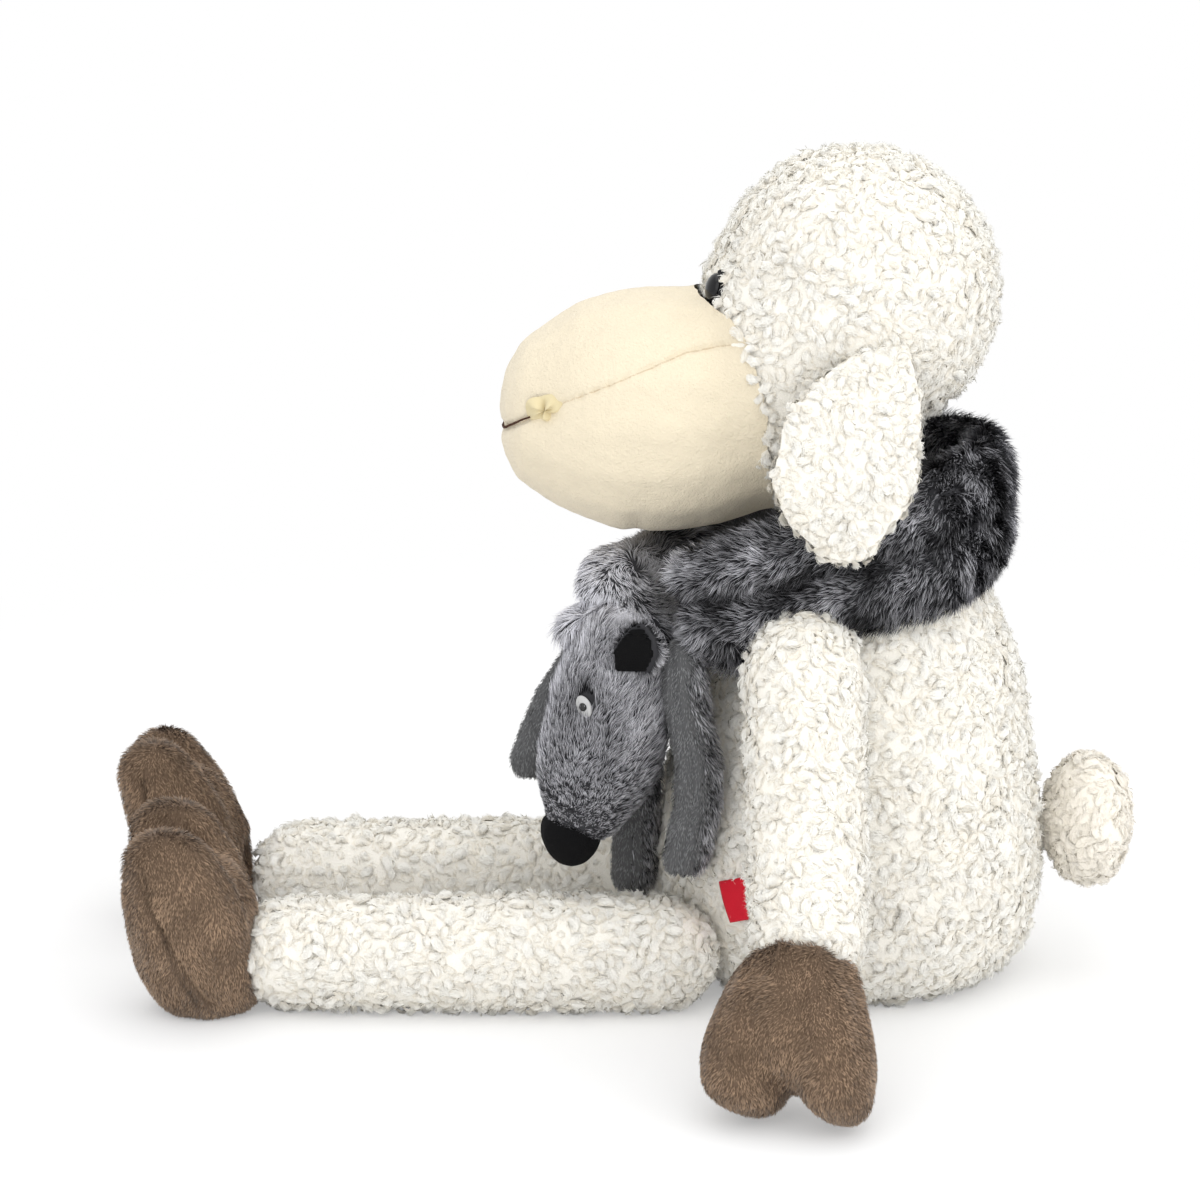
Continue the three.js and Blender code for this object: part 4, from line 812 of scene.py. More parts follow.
def side_label():
    """A woven loop label, bare, slightly curved and doubled."""
    data = frame["nodes"]["side_label"].data
    corners = np.unique(np.round([v.co[:] for v in data.vertices], 6), axis=0)
    middle = corners.mean(0)
    outward = flat_axis("side_label", centre_of("torso_cover"), corners)
    outer = corners[(corners - middle) @ outward > 0]
    flat = outer.mean(0)
    aside = np.cross(UP, outward)
    a, b, c, d = outer[np.argsort(np.arctan2((outer - flat) @ UP, (outer - flat) @ aside))]
    across, high = LABEL_GRID
    s, t = np.meshgrid(np.linspace(0, 1, across), np.linspace(0, 1, high))
    s, t = s.reshape(-1, 1), t.reshape(-1, 1)
    sheet = (1 - s) * (1 - t) * a + s * (1 - t) * b + s * t * c + (1 - s) * t * d - flat
    side, height = (sheet @ aside)[:, None], (sheet @ UP)[:, None]
    cos, sin = math.cos(LABEL_TURN), math.sin(LABEL_TURN)
    sheet = flat + (sheet @ outward)[:, None] * outward
    sheet += (side * cos - height * sin + LABEL_SHIFT) * aside + (side * sin + height * cos) * UP
    belly = LABEL_BELLY * np.sin(np.pi * t) + LABEL_RIPPLE * np.sin(3 * np.pi * s) * (1 - t)
    front, back = sheet + outward * (belly + LABEL_FRONT), sheet - outward * LABEL_BACK
    grid = np.arange(across * high).reshape(high, across)
    rim = np.concatenate([grid[0], grid[1:, -1], grid[-1, -2::-1], grid[-2:0:-1, 0]])[::-1]
    edge = woven(closed(np.stack([rim, rim + grid.size])))
    faces = [woven(grid), woven(grid)[:, ::-1] + grid.size, edge]
    material = nap_material(
        "Woven label", LABEL_RED, spread=0.12, fibres=2600.0, strength=0.6, sheen=0.1
    )
    points = np.concatenate([front, back])
    new_piece("side_label_woven", "side_label", material, points, faces)


# Where the velour of the face meets the wool, as height and depth
VELOUR_EDGE = [
    (0.23, -0.046), (0.26, -0.051), (0.273, -0.0535), (0.3, -0.054), (0.325, -0.062),
    (0.337, -0.067), (0.345, -0.074), (0.352, -0.09),
]


def behind_velour(place):
    """How far places lie behind the edge of the face's velour."""
    return place[:, 0] - interpolated(place[:, 2], VELOUR_EDGE)


# How far the wool stays clear of an eye, and how much thicker it is along the velour's edge
WOOL_CLEAR, WOOL_RIM = 9 * MM, 2.2 * MM


class SHEEP_OT_head(bpy.types.Operator):
    """Builds the head's wool and the neck"""

    bl_idname = "sheep.head"
    bl_label = "Head wool"

    def execute(self, context):
        rng = seeded(context, 1)
        form = form_of(["head_cover"], 3.5 * MM, 26, hull=True, grow=-0.6 * MM)

        def clear(place):
            off = from_pair(place, "eye_backing") > WOOL_CLEAR
            return off & (behind_velour(place) > 1.5 * MM)

        def rise(place):
            return WOOL_RIM * bell(behind_velour(place), 9 * MM)

        wool_piece(
            context, "head_wool", "head_cover", form, rng, clear, parts=2, rise=rise
        )
        neck = form_of(["neck"], 3 * MM, 6, hull=True, grow=0.5 * MM)
        wool_piece(context, "neck_wool", "neck", neck, rng, scale=1.3)
        return {"FINISHED"}


# Heights where an ear starts to lean in and where its root is, how far in, and its tip forward
EAR_ROOTED = (0.3, 0.336)
EAR_INWARD, EAR_FORWARD = 17 * MM, 3.5 * MM


def ear_shape(form, word):
    """Leans an ear's root into the wool of the head, and its tip forward."""
    points = form.points.copy()
    rooted = ramp(points[:, 2], *EAR_ROOTED)
    points[:, 1] += (EAR_INWARD if word == "left" else -EAR_INWARD) * rooted**1.5
    points[:, 0] -= EAR_FORWARD * (1 - rooted)
    return form._replace(points=points)


class SHEEP_OT_ears(bpy.types.Operator):
    """Builds the drooping ears with their smooth inner sides"""

    bl_idname = "sheep.ears"
    bl_label = "Ears"

    def execute(self, context):
        velour = once("Velour", velour_material, context.scene.sheep_face, False)
        for i, word in enumerate(SIDES):
            rng = seeded(context, 10 + i)
            node, inner = f"ear_{word}", f"ear_lining_{word}"
            form = ear_shape(form_of([node, inner], 2 * MM, 14), word)
            lining = ear_shape(form_of([inner], 1.2 * MM, 6, grow=0.3 * MM), word)

            def outer(place, lining=lining):
                return distances(place, lining.points) >= 1.4 * MM

            wool_piece(context, f"ear_wool_{word}", node, form, rng, outer, scale=0.95)
            cloth_piece(f"ear_lining_velour_{word}", inner, velour, lining)
        return {"FINISHED"}


class SHEEP_OT_limbs(bpy.types.Operator):
    """Builds the woolly arms and legs"""

    bl_idname = "sheep.limbs"
    bl_label = "Arms and legs"

    def execute(self, context):
        for i, kind, word in paired("arm", "leg"):
            node = f"{kind}_{word}"
            form = form_of([node], 3 * MM, 16, grow=-0.4 * MM)
            lay = (-1, 0, -0.4) if kind == "leg" else DOWN
            rng = seeded(context, 20 + i)
            wool_piece(context, f"{node}_wool", node, form, rng, lay=lay)
        return {"FINISHED"}


class SHEEP_OT_tail(bpy.types.Operator):
    """Builds the tail puff"""

    bl_idname = "sheep.tail"
    bl_label = "Tail"

    def execute(self, context):
        form = form_of(["tail"], 2.5 * MM, 10, hull=True)
        rng = seeded(context, 30)
        wool_piece(context, "tail_wool", "tail", form, rng, tail=True)
        return {"FINISHED"}


# Hoofs

# The crease down the side of a foot: depth from the front of its box, and height
FOOT_CREASE = [(0.014, 0.086), (0.0173, 0.0644), (0.0231, 0.0465), (0.0289, 0.0296), (0.039, 0.0105)]
# Depths and widths of the sharp crease and of the soft hollow round it
CREASE_CUTS = ((3.2 * MM, 1.9 * MM), (1.6 * MM, 7 * MM))
# How a foot leans forward: height, and shift in depth
FOOT_LEAN = [
    (0.0, 0.008), (0.02, 0.004), (0.053, 0.001), (0.07, -0.002), (0.085, -0.005), (0.104, -0.009)
]
# How much of its depth the far foot keeps, and how far it stands in front of the near one
FAR_FOOT_SIZE, FAR_FOOT_SHIFT = 0.88, 5 * MM
# How far down from the wrist or ankle the pile is longer and darker
COLLAR = 9 * MM
# How much a hand narrows at the wrist in front and behind, and how its lobes spread and hang
WRIST_FRONT, WRIST_REAR, LOBE_SPREAD, LOBE_HANG = 0.5, 0.14, 0.2, 0.3


def hand_shape(form):
    """Narrows a hand at the wrist, spreads its front lobe and lets its rear lobe hang lower."""
    points = form.points.copy()
    low, high = points.min(0), points.max(0)
    down = (high[2] - points[:, 2]) / (high[2] - low[2])
    aside = points[:, 0] - (low[0] + high[0]) / 2
    front = WRIST_FRONT * (1 - down) ** 2 - LOBE_SPREAD * down**2
    points[:, 0] -= aside * np.where(aside < 0, front, WRIST_REAR * (1 - down) ** 1.5)
    points[:, 2] -= aside * LOBE_HANG * down
    return form._replace(points=points)


def crease_offset(points):
    """How far points of a foot are from its crease, seen from the side."""
    return line_offset(points[:, [0, 2]] - [points[:, 0].min(), 0], FOOT_CREASE)


def foot_shape(form):
    """Draws a foot in along its crease, leans it forward, and makes the far foot smaller."""
    front = form.points[:, 0].min()
    offset = crease_offset(form.points)
    depth = sum(depth * bell(offset, width) for depth, width in CREASE_CUTS)
    side = np.clip(np.abs(form.normals[:, 1]) * 1.6 - 0.3, 0, 1)
    points = form.points - form.normals * (depth * side)[:, None]
    points[:, 0] += interpolated(points[:, 2], FOOT_LEAN)
    if points[:, 1].mean() > 0:
        points[:, 0] = front + (points[:, 0] - front) * FAR_FOOT_SIZE - FAR_FOOT_SHIFT
    return form._replace(points=points)


class SHEEP_OT_hoofs(bpy.types.Operator):
    """Builds the short-piled hands and feet"""

    bl_idname = "sheep.hoofs"
    bl_label = "Hoofs"

    def execute(self, context):
        hoof = context.scene.sheep_hoof
        material = fibre_material(
            "Hoof pile", hoof.root, hoof.tip, end=0.65, dark=0.3, light=1.35, sheen=0.15
        )
        for i, kind, word in paired("hand", "foot"):
            rng = np.random.default_rng(100 + i)
            node = f"{kind}_{word}"
            shape = hand_shape if kind == "hand" else foot_shape
            form = shape(form_of([node], 2 * MM, 14, grow=0.2 * MM))
            place, facing = scattered(form, hoof.density * PER_MM2, rng)
            collar = np.exp((place[:, 2] - form.points[:, 2].max()) / COLLAR)
            flow = DOWN + 0.3 * swirl(place, 30 * MM, rng)
            shade = 0.55 + 0.1 * patches(place, 22 * MM, rng) + 0.1 * patches(place, 4 * MM, rng)
            shade -= 0.3 * collar
            # Painted shade along the foot's crease
            if kind == "foot":
                shade -= 0.4 * bell(crease_offset(place), 1.6 * MM)
            length = hoof.length * (1 + 0.6 * collar)
            pile = strands(place, facing, flow, rng, length, hoof.width, 0.45, shade=shade, droop=0)
            piece = fibre_piece(f"{node}_pile", node, "hoof", material, skin_part(form, 0.15), pile)
        return {"FINISHED"}


# Face

# The cheek seam, the dart under it and the fold that it pulls, from the side, as depth and height
CHEEK_SEAM = [
    (-0.1816, 0.283), (-0.1760, 0.2848), (-0.1652, 0.292), (-0.1484, 0.3012),
    (-0.1196, 0.314), (-0.0896, 0.3262), (-0.0236, 0.3384),
]
CHIN_DART = [(-0.1116, 0.2415), (-0.1122, 0.225)]
PULL_FOLD = [(-0.1109, 0.3074), (-0.0869, 0.2928), (-0.0763, 0.2781), (-0.0747, 0.2659)]
# How far the velour runs on under the head's wool
VELOUR_TURNED_IN = 7 * MM
# Widths of the stitching, of the dip along the seam and of the dart, and the last two's share of depth
SEAM_WIDTH, DIP_WIDTH, DART_WIDTH, DIP_SHARE, DART_SHARE = 1.3 * MM, 7 * MM, 4 * MM, 0.6, 0.7
# Depths and widths of the fold, the mouth and the gathers at its corners
PULL_CUT, MOUTH_CUT, GATHER_CUT = (0.45 * MM, 3 * MM), (1.5 * MM, 2.6 * MM), (2.2 * MM, 9 * MM)
# How strongly painted shade darkens the seam groove, and from where to where the line fades, in mm
SEAM_SHADE_STRENGTH, SEAM_FADE = 0.45, (0.1, 0.55)


def eased(points, triangles, weight, passes):
    """Points drawn toward the middle of their neighbours, where the weight is high."""
    ends = np.concatenate([triangles[:, [0, 1]], triangles[:, [1, 2]], triangles[:, [2, 0]]])
    ends = np.concatenate([ends, ends[:, ::-1]])
    count = np.bincount(ends[:, 0], minlength=len(points))[:, None]
    for _ in range(passes):
        total = [np.bincount(ends[:, 0], points[ends[:, 1], i], len(points)) for i in range(3)]
        points = points + (np.stack(total, axis=1) / count - points) * 0.5 * weight[:, None]
    return points


def drawn_in(points, stitch, face):
    """How deep the seams, folds and gathers draw the muzzle in, and the offsets from its seams."""
    flat = points[:, [0, 2]]
    seam = line_offset(flat, CHEEK_SEAM)
    dart = np.abs(line_offset(flat, CHIN_DART))
    rng = np.random.default_rng(50)
    pucker = 1 + 0.45 * patches(points, 7 * MM, rng)
    sewn = pucker * bell(seam, SEAM_WIDTH) + DIP_SHARE * bell(seam, DIP_WIDTH)
    depth = face.seam_depth * (sewn + DART_SHARE * bell(dart, DART_WIDTH))
    depth += 0.12 * MM * patches(points, 9 * MM, rng, 12)
    for (deep, width), off in (
        (PULL_CUT, line_offset(flat, PULL_FOLD)),
        (MOUTH_CUT, distances(points, stitch.points[::7])),
        (GATHER_CUT, from_pair(points, "mouth_tuck")),
    ):
        depth += deep * bell(off, width)
    return depth, seam, dart


class SHEEP_OT_muzzle(bpy.types.Operator):
    """Builds the smooth muzzle in two panels, with its seams, mouth and gathered tucks"""

    bl_idname = "sheep.muzzle"
    bl_label = "Muzzle"

    def execute(self, context):
        face = context.scene.sheep_face
        form = form_of(
            ["muzzle_upper", "muzzle_lower"], 2 * MM, 36, hull=True, grow=0.9 * MM, levels=1,
            beside=["head_cover"],
        )
        seen = behind_velour(form.points) < VELOUR_TURNED_IN
        form, _ = cut(form, seen[form.triangles].all(1))
        junction = bell(behind_velour(form.points) + 4 * MM, 16 * MM)
        points = eased(form.points, form.triangles, junction, 60)
        stitch = form_of(["mouth_stitch"], 0.45 * MM, 6, grow=-0.15 * MM)
        depth, seam, dart = drawn_in(points, stitch, face)
        form = form._replace(points=points - form.normals * depth[:, None])
        above = seam[form.triangles].mean(1) > 0
        # How far each point is from the seam and the dart; the material paints a thin line of shade
        # there
        line = (np.minimum(np.abs(seam), dart) / MM).astype(np.float32)
        velour = velour_material("Seamed velour", face, True)
        for word, chosen in (("upper", above), ("lower", ~above)):
            panel, used = cut(form, chosen)
            piece = cloth_piece(f"muzzle_{word}_velour", f"muzzle_{word}", velour, panel)
            piece.data.attributes.new("seam", "FLOAT", "POINT").data.foreach_set("value", line[used])
        thread = nap_material("Mouth thread", face.stitch, spread=0.2, fibres=3000.0, sheen=0.0)
        cloth_piece("mouth_thread", "mouth_stitch", thread, laid_on(stitch, form))
        gather = nap_material("Gathered tuck", face.tuck, spread=0.15, fibres=1800.0, sheen=0.1)
        for word in SIDES:
            mouth_tuck(word, gather)
        return {"FINISHED"}


def laid_on(thread, surface):
    """A thread moved so that its middle line runs on a surface."""
    under = nearest(thread.points, surface.points)
    out = unit(surface.normals[under])
    height = ((thread.points - surface.points[under]) * out).sum(1)
    own = tree_of(thread.points)
    level = [
        np.mean([height[i] for _, i, _ in own.find_range(point, 2 * MM)]) for point in thread.points
    ]
    sunk = np.array(level) - 0.2 * MM
    return thread._replace(points=thread.points - out * sunk[:, None])


# A tuck's rings and the points on each, its radius, and the height of its folds
TUCK_RINGS, TUCK_SIDES = 12, 48
TUCK_RADIUS, TUCK_HEIGHT = 9.4 * MM, 4.2 * MM


def mouth_tuck(word, material):
    """Small folds of cloth gathered at a corner of the mouth."""
    node = f"mouth_tuck_{word}"
    middle = centre_of(node)
    outward = unit(middle - centre_of("muzzle_upper") + [0.02, 0, 0.012])
    ahead = along_skin((-1.0, 0, -0.35), outward)
    aside = np.cross(outward, ahead)
    share = np.linspace(0.02, 1, TUCK_RINGS)[:, None]
    turn = np.linspace(0, 2 * np.pi, TUCK_SIDES, endpoint=False)
    ridge = 0.6 * np.cos(3 * turn + 1.2 + 1.6 * share) + 0.55 * np.cos(5 * turn - 2.4 * share)
    reach = TUCK_RADIUS * share * (1 + 0.14 * np.cos(2 * turn) + 0.08 * ridge)
    rise = TUCK_HEIGHT * np.sin(np.pi * share**0.7) * (0.65 + 0.6 * ridge) - 1.6 * MM * share**2
    points = (
        middle - outward * 1.4 * MM
        + ahead * (reach * np.cos(turn) * 1.05)[..., None]
        + aside * (reach * np.sin(turn) * 0.85)[..., None]
        + outward * rise[..., None]
    )
    hollow = middle - outward * 1.8 * MM
    points = np.concatenate([points.reshape(-1, 3), hollow[None]])
    grid = np.arange(TUCK_RINGS * TUCK_SIDES).reshape(TUCK_RINGS, TUCK_SIDES)
    faces = [woven(closed(grid)), fan(grid[0], grid.size)]
    new_piece(f"mouth_gather_{word}", node, material, points, faces)


def flat_axis(node, away_from, points=None):
    """The direction that a flat node faces, away from a place."""
    if points is None:
        points = np.array([v.co[:] for v in frame["nodes"][node].data.vertices])
    middle = points.mean(0)
    axis = np.linalg.svd(points - middle, full_matrices=False)[2][2]
    return axis if axis @ (middle - away_from) > 0 else -axis


def turned(name, node, slot, material, profile, place, direction, segments=40, stretch=(1, 1)):
    """A piece whose profile of radii and heights is turned about a direction."""
    rotation = Vector((0, 0, 1)).rotation_difference(Vector(direction)).to_matrix()
    turn = np.linspace(0, 2 * np.pi, segments, endpoint=False)
    radii, heights = np.array(profile).T[:, :, None]
    axes = radii * np.cos(turn) * stretch[0], radii * np.sin(turn) * stretch[1], heights
    rings = np.stack(np.broadcast_arrays(*axes), axis=-1).reshape(-1, 3)
    ends = [[0, 0, profile[0][1]], [0, 0, profile[-1][1]]]
    points = np.concatenate([rings, ends]) @ np.array(rotation).T + place
    grid = np.arange(len(rings)).reshape(-1, segments)
    fans = fan(grid[0], grid.size), fan(grid[-1][::-1], grid.size + 1)
    return new_piece(name, node, material, points, [woven(closed(grid)), *fans])


# An eye's radius and the height of its dome, and the radii and heights of its felt backing
EYE_RADIUS, EYE_DOME = 7.2 * MM, 4.4 * MM
EYE_FELT = [
    (8.4 * MM, -0.8 * MM), (9.2 * MM, -0.2 * MM), (9.1 * MM, 0.5 * MM), (8.6 * MM, 0.9 * MM),
    (2.4 * MM, 0.8 * MM),
]


class SHEEP_OT_eyes(bpy.types.Operator):
    """Builds the glossy domed eyes on their felt backings"""

    bl_idname = "sheep.eyes"
    bl_label = "Eyes"

    def execute(self, context):
        plastic = gloss_material("Black eye", (0.006, 0.006, 0.007), 0.08, 0.16, specular=0.3)
        felt = nap_material("Dark felt", (0.02, 0.02, 0.022), spread=0.3, strength=0.8, sheen=0.0)
        washer = gloss_material("Eye washer", (0.8, 0.8, 0.78), 0.4, 0.55)
        shank = [(2 * MM, -14 * MM), (2 * MM, 0.8 * MM), (EYE_RADIUS * 0.96, 0.8 * MM)]
        dome = [
            (EYE_RADIUS * math.cos(a), 1.1 * MM + EYE_DOME * math.sin(a))
            for a in np.linspace(0, np.pi / 2, 12)[:-1]
        ]
        profile = [*shank, *dome, (0.3 * MM, 1.1 * MM + EYE_DOME)]
        for word in SIDES:
            node = f"eye_backing_{word}"
            seat = centre_of(node), flat_axis(node, centre_of("head_cover"))
            turned(f"eye_dome_{word}", f"eye_{word}", "eye", plastic, profile, *seat)
            turned(f"eye_felt_{word}", node, "felt", felt, EYE_FELT, *seat)
            frame["nodes"][f"eye_washer_{word}"].material_slots[0].material = washer
        return {"FINISHED"}


# Wolf skin


def fur_material(fur):
    """The wolf's long fur, dark at its roots and silver at its tips."""
    return once(
        "Wolf fur", fibre_material, fur.root, fur.tip, start=0.2, end=0.95, dark=0.06, light=1.2,
        sheen=0.03,
    )


def furred(context, name, node, form, rng, flow, length, chosen, density=1.0, tone=0.5, parts=1,
           lift=0.62, mottle=1.0):
    """A form covered with strands where chosen; flow to mottle are values or functions of a place."""
    fur = context.scene.sheep_fur
    place, facing = scattered(form, fur.density * density * PER_MM2, rng)
    keep = chosen(place)
    place, facing = place[keep], facing[keep]
    flow, length, tone, lift, mottle = (
        value(place) if callable(value) else np.full(len(place), value)
        for value in (flow, length, tone, lift, mottle)
    )
    flow = flow + 0.6 * mottle[:, None] * swirl(place, 18 * MM, rng)
    spots = 0.2 * patches(place, 26 * MM, rng) + 0.12 * patches(place, 9 * MM, rng)
    shade = tone + mottle * spots
    material = fur_material(fur)
    skin = fibre_piece(f"{name}_skin", node, "wolf_fur", material, skin_part(form, 0.32))
    for i, group in enumerate(np.array_split(np.argsort(place[:, 1]), parts)):
        hair = strands(
            place[group], facing[group], flow[group], rng, length[group], fur.width, lift[group],
            clump=5 * MM, shade=shade[group],
        )
        fibre_piece(f"{name}_strands_{i + 1}", node, "wolf_fur", material, hair, stands=False)
    return skin


# Tufts per square millimetre, length and width of the skin's smooth side
SMOOTH_DENSITY, SMOOTH_LENGTH, SMOOTH_WIDTH = 0.8, 2.6 * MM, 0.5 * MM


def short_pile(context, name, node, form, rng):
    """A form with the wolf skin's short smooth pile."""
    grey = context.scene.sheep_fur.smooth
    place, facing = scattered(form, SMOOTH_DENSITY * PER_MM2, rng)
    shade = 0.5 + 0.15 * patches(place, 20 * MM, rng)
    flow = DOWN + 0.3 * swirl(place, 20 * MM, rng)
    pile = strands(place, facing, flow, rng, SMOOTH_LENGTH, SMOOTH_WIDTH, 0.4, shade=shade)
    material = once(
        "Wolf short pile", fibre_material, [c * 0.35 for c in grey], grey, dark=0.7, light=1.12,
        sheen=0.12,
    )
    return fibre_piece(name, node, "wolf_smooth", material, skin_part(form), pile)


# How the fur of the hanging neck leans back, by its height: over the top it lies forward
NAPE_LAY = [(0.195, 0.15), (0.21, 0.0), (0.235, -1.0)]
# How far the hanging neck is drawn back, by its height
NAPE_SHIFT = [(0.17, -0.004), (0.185, -0.003), (0.2, -0.001), (0.215, 0.002), (0.24, 0.004)]
# How light the band's fur is from the front of the neck to its back: darker across the middle and
# lighter at the back, partly painted shade and light, partly the pile's parting
BAND_TONE_AND_SHADE = [(-0.06, 0.34), (-0.02, 0.27), (0.02, 0.27), (0.05, 0.42)]
# Where the wolf's neck leaves the band on the near side
THROAT = np.array([-0.09, -0.058, 0.182])
# How far the two rolls of the band lie from its middle line, their width and their height
ROLL_OFF, ROLL_WIDTH, ROLL_HEIGHT = 15 * MM, 8 * MM, 3.5 * MM
# Width and depth of the fold between them, and width and height of the swelling at the throat
FOLD_WIDTH, FOLD_DEPTH = 5 * MM, 11 * MM
THROAT_WIDTH, THROAT_HEIGHT = 15 * MM, 6 * MM
# Depths between which the band goes over into the hanging neck
NECK_START, NECK_END = -0.095, -0.12


def hanging(place):
    """0 on the scarf's band, more to 1 on the wolf's neck that hangs from it."""
    return ramp(place[:, 0], NECK_START, NECK_END)


def hem(place):
    """1 at the lower edge of the hanging neck."""
    return hanging(place) * ramp(place[:, 2], 0.207, 0.192)


def round_the_neck(place):
    """The fur's lay on the scarf: from the wolf's neck back round the sheep's neck."""
    radial = place - centre_of("neck")
    lay = np.stack([radial[:, 1], -radial[:, 0], np.zeros(len(place))], axis=-1)
    share = ramp(place[:, 0], -0.1, -0.12)[:, None]
    back = interpolated(place[:, 2], NAPE_LAY)[:, None] * [1, 0, 0]
    return unit(lay) * (1 - 0.8 * share) + DOWN * (0.35 + 0.8 * share) + share * back


def outerness(form, middle):
    """1 where a form faces straight away from an upright line through its middle, -1 inside."""
    return (form.normals * unit((form.points - middle) * [1, 1, 0])).sum(1)


def band_level(form, middle):
    """A function that gives how far a place is above the middle line of the scarf's band."""

    def waves(place):
        away = place - middle
        turn = np.arctan2(away[:, 1], away[:, 0])
        once_round, twice_round = (np.cos(turn), np.sin(turn)), (np.cos(2 * turn), np.sin(2 * turn))
        return np.stack([np.ones(len(turn)), *once_round, *twice_round])

    band = form.points[(outerness(form, middle) > 0.3) & (form.points[:, 0] > -0.105)]
    fit = np.linalg.lstsq(waves(band).T, band[:, 2], rcond=None)[0]
    return lambda place: place[:, 2] - waves(place).T @ fit


def frontness(place, middle):
    """1 at the front of the neck, less toward its back."""
    away = place - middle
    return 0.6 - 0.4 * away[:, 0] / np.linalg.norm(away[:, :2], axis=1)


def folded(form, middle, level_of):
    """The scarf in two rolls with a fold between them, deepest in front, its neck drawn back."""
    level = level_of(form.points)
    front = frontness(form.points, middle) * np.clip(outerness(form, middle), 0, 1)
    rolls = ROLL_HEIGHT * bell(np.abs(level) - ROLL_OFF, ROLL_WIDTH)
    rolls -= FOLD_DEPTH * bell(level, FOLD_WIDTH)
    throat = THROAT_HEIGHT * bell(np.linalg.norm(form.points - THROAT, axis=1), THROAT_WIDTH)
    points = form.points + form.normals * (front * rolls + throat)[:, None]
    points[:, 0] += hanging(points) * interpolated(points[:, 2], NAPE_SHIFT)
    return renewed(points, form.triangles)


class SHEEP_OT_scarf(bpy.types.Operator):
    """Builds the wolf-skin scarf: long fur outside, a smooth lining inside"""

    bl_idname = "sheep.scarf"
    bl_label = "Scarf"

    def execute(self, context):
        fur = context.scene.sheep_fur
        rng = np.random.default_rng(200)
        form = form_of(["scarf_loop"], 2.5 * MM, 8, grow=-0.5 * MM)
        middle = centre_of("neck")
        level_of = band_level(form, middle)
        form = folded(form, middle, level_of)
        lining = form_of(["scarf_lining"], 2 * MM, 6)

        def tone(place):
            level = np.abs(level_of(place))
            front = frontness(place, middle) * (1 - hanging(place))
            # Lighter roll tops and a darker fold between them at the front: partly painted light and
            # shade, partly the dark roots shown at the parting
            ridge = bell(level - ROLL_OFF, ROLL_WIDTH) - 1.2 * bell(level, ROLL_WIDTH)
            band = interpolated(place[:, 0], BAND_TONE_AND_SHADE)
            return band + 0.6 * hanging(place) + 0.25 * front * ridge

        scarf = furred(
            context, "scarf_fur", "scarf_loop", form, rng, round_the_neck,
            lambda place: fur.length * (1 - 0.25 * hanging(place) + 0.6 * hem(place)),
            lambda place: distances(place, lining.points) >= 3 * MM,
            tone=tone, parts=2, lift=lambda place: 0.62 - 0.38 * hanging(place) - 0.08 * hem(place),
            mottle=lambda place: 1 - 0.75 * hanging(place),
        )
        short_pile(context, "scarf_lining_pile", "scarf_lining", lining, rng)
        return {"FINISHED"}


# Wolf head

# How far the wolf's near ear leans back from its root
EAR_SHIFT = np.array([6 * MM, -1 * MM, 5 * MM])
# How far its lining stands in front of the ear's own form, and how much it is stretched
CUP_SHIFT = np.array([0.5 * MM, -1.6 * MM, -0.8 * MM])
CUP_STRETCH = (1.12, 1, 0.95)
# How far the lower half of the nose is drawn out
NOSE_DROP = 4 * MM
NOSE_BLACK = (0.0035, 0.0035, 0.004)
# Length of the fur on the wolf's forehead, and how far from the nose it reaches that
CROWN_FUR, CROWN_OFF = 9.5 * MM, 70 * MM
# How far the fur stays clear of an eye, and how wide the dark round it is
EYE_CLEAR, EYE_DARK = 6 * MM, 9 * MM
# Radii and heights of the felt eye and of the pupil on it
EYE_DROP = [(3.2 * MM, -1.2 * MM), (3.9 * MM, 0.2 * MM), (3.6 * MM, 1.0 * MM), (1 * MM, 1.4 * MM)]
EYE_BEAD = [(1.8 * MM, 0.8 * MM), (2.1 * MM, 1.5 * MM), (1.5 * MM, 2.3 * MM), (0.3 * MM, 2.6 * MM)]


def nose_shape(form):
    """Draws a nose out downward and narrows it toward its lower end."""
    points = form.points.copy()
    middle = (points.min(0) + points.max(0)) / 2
    down = np.clip((middle[2] - points[:, 2]) / (points[:, 2].max() - middle[2]), -1, 1)
    points[:, 2] -= NOSE_DROP * np.clip(down + 0.3, 0, 1)
    points[:, :2] = middle[:2] + (points[:, :2] - middle[:2]) * (1.05 - 0.2 * down)[:, None]
    return form._replace(points=points)


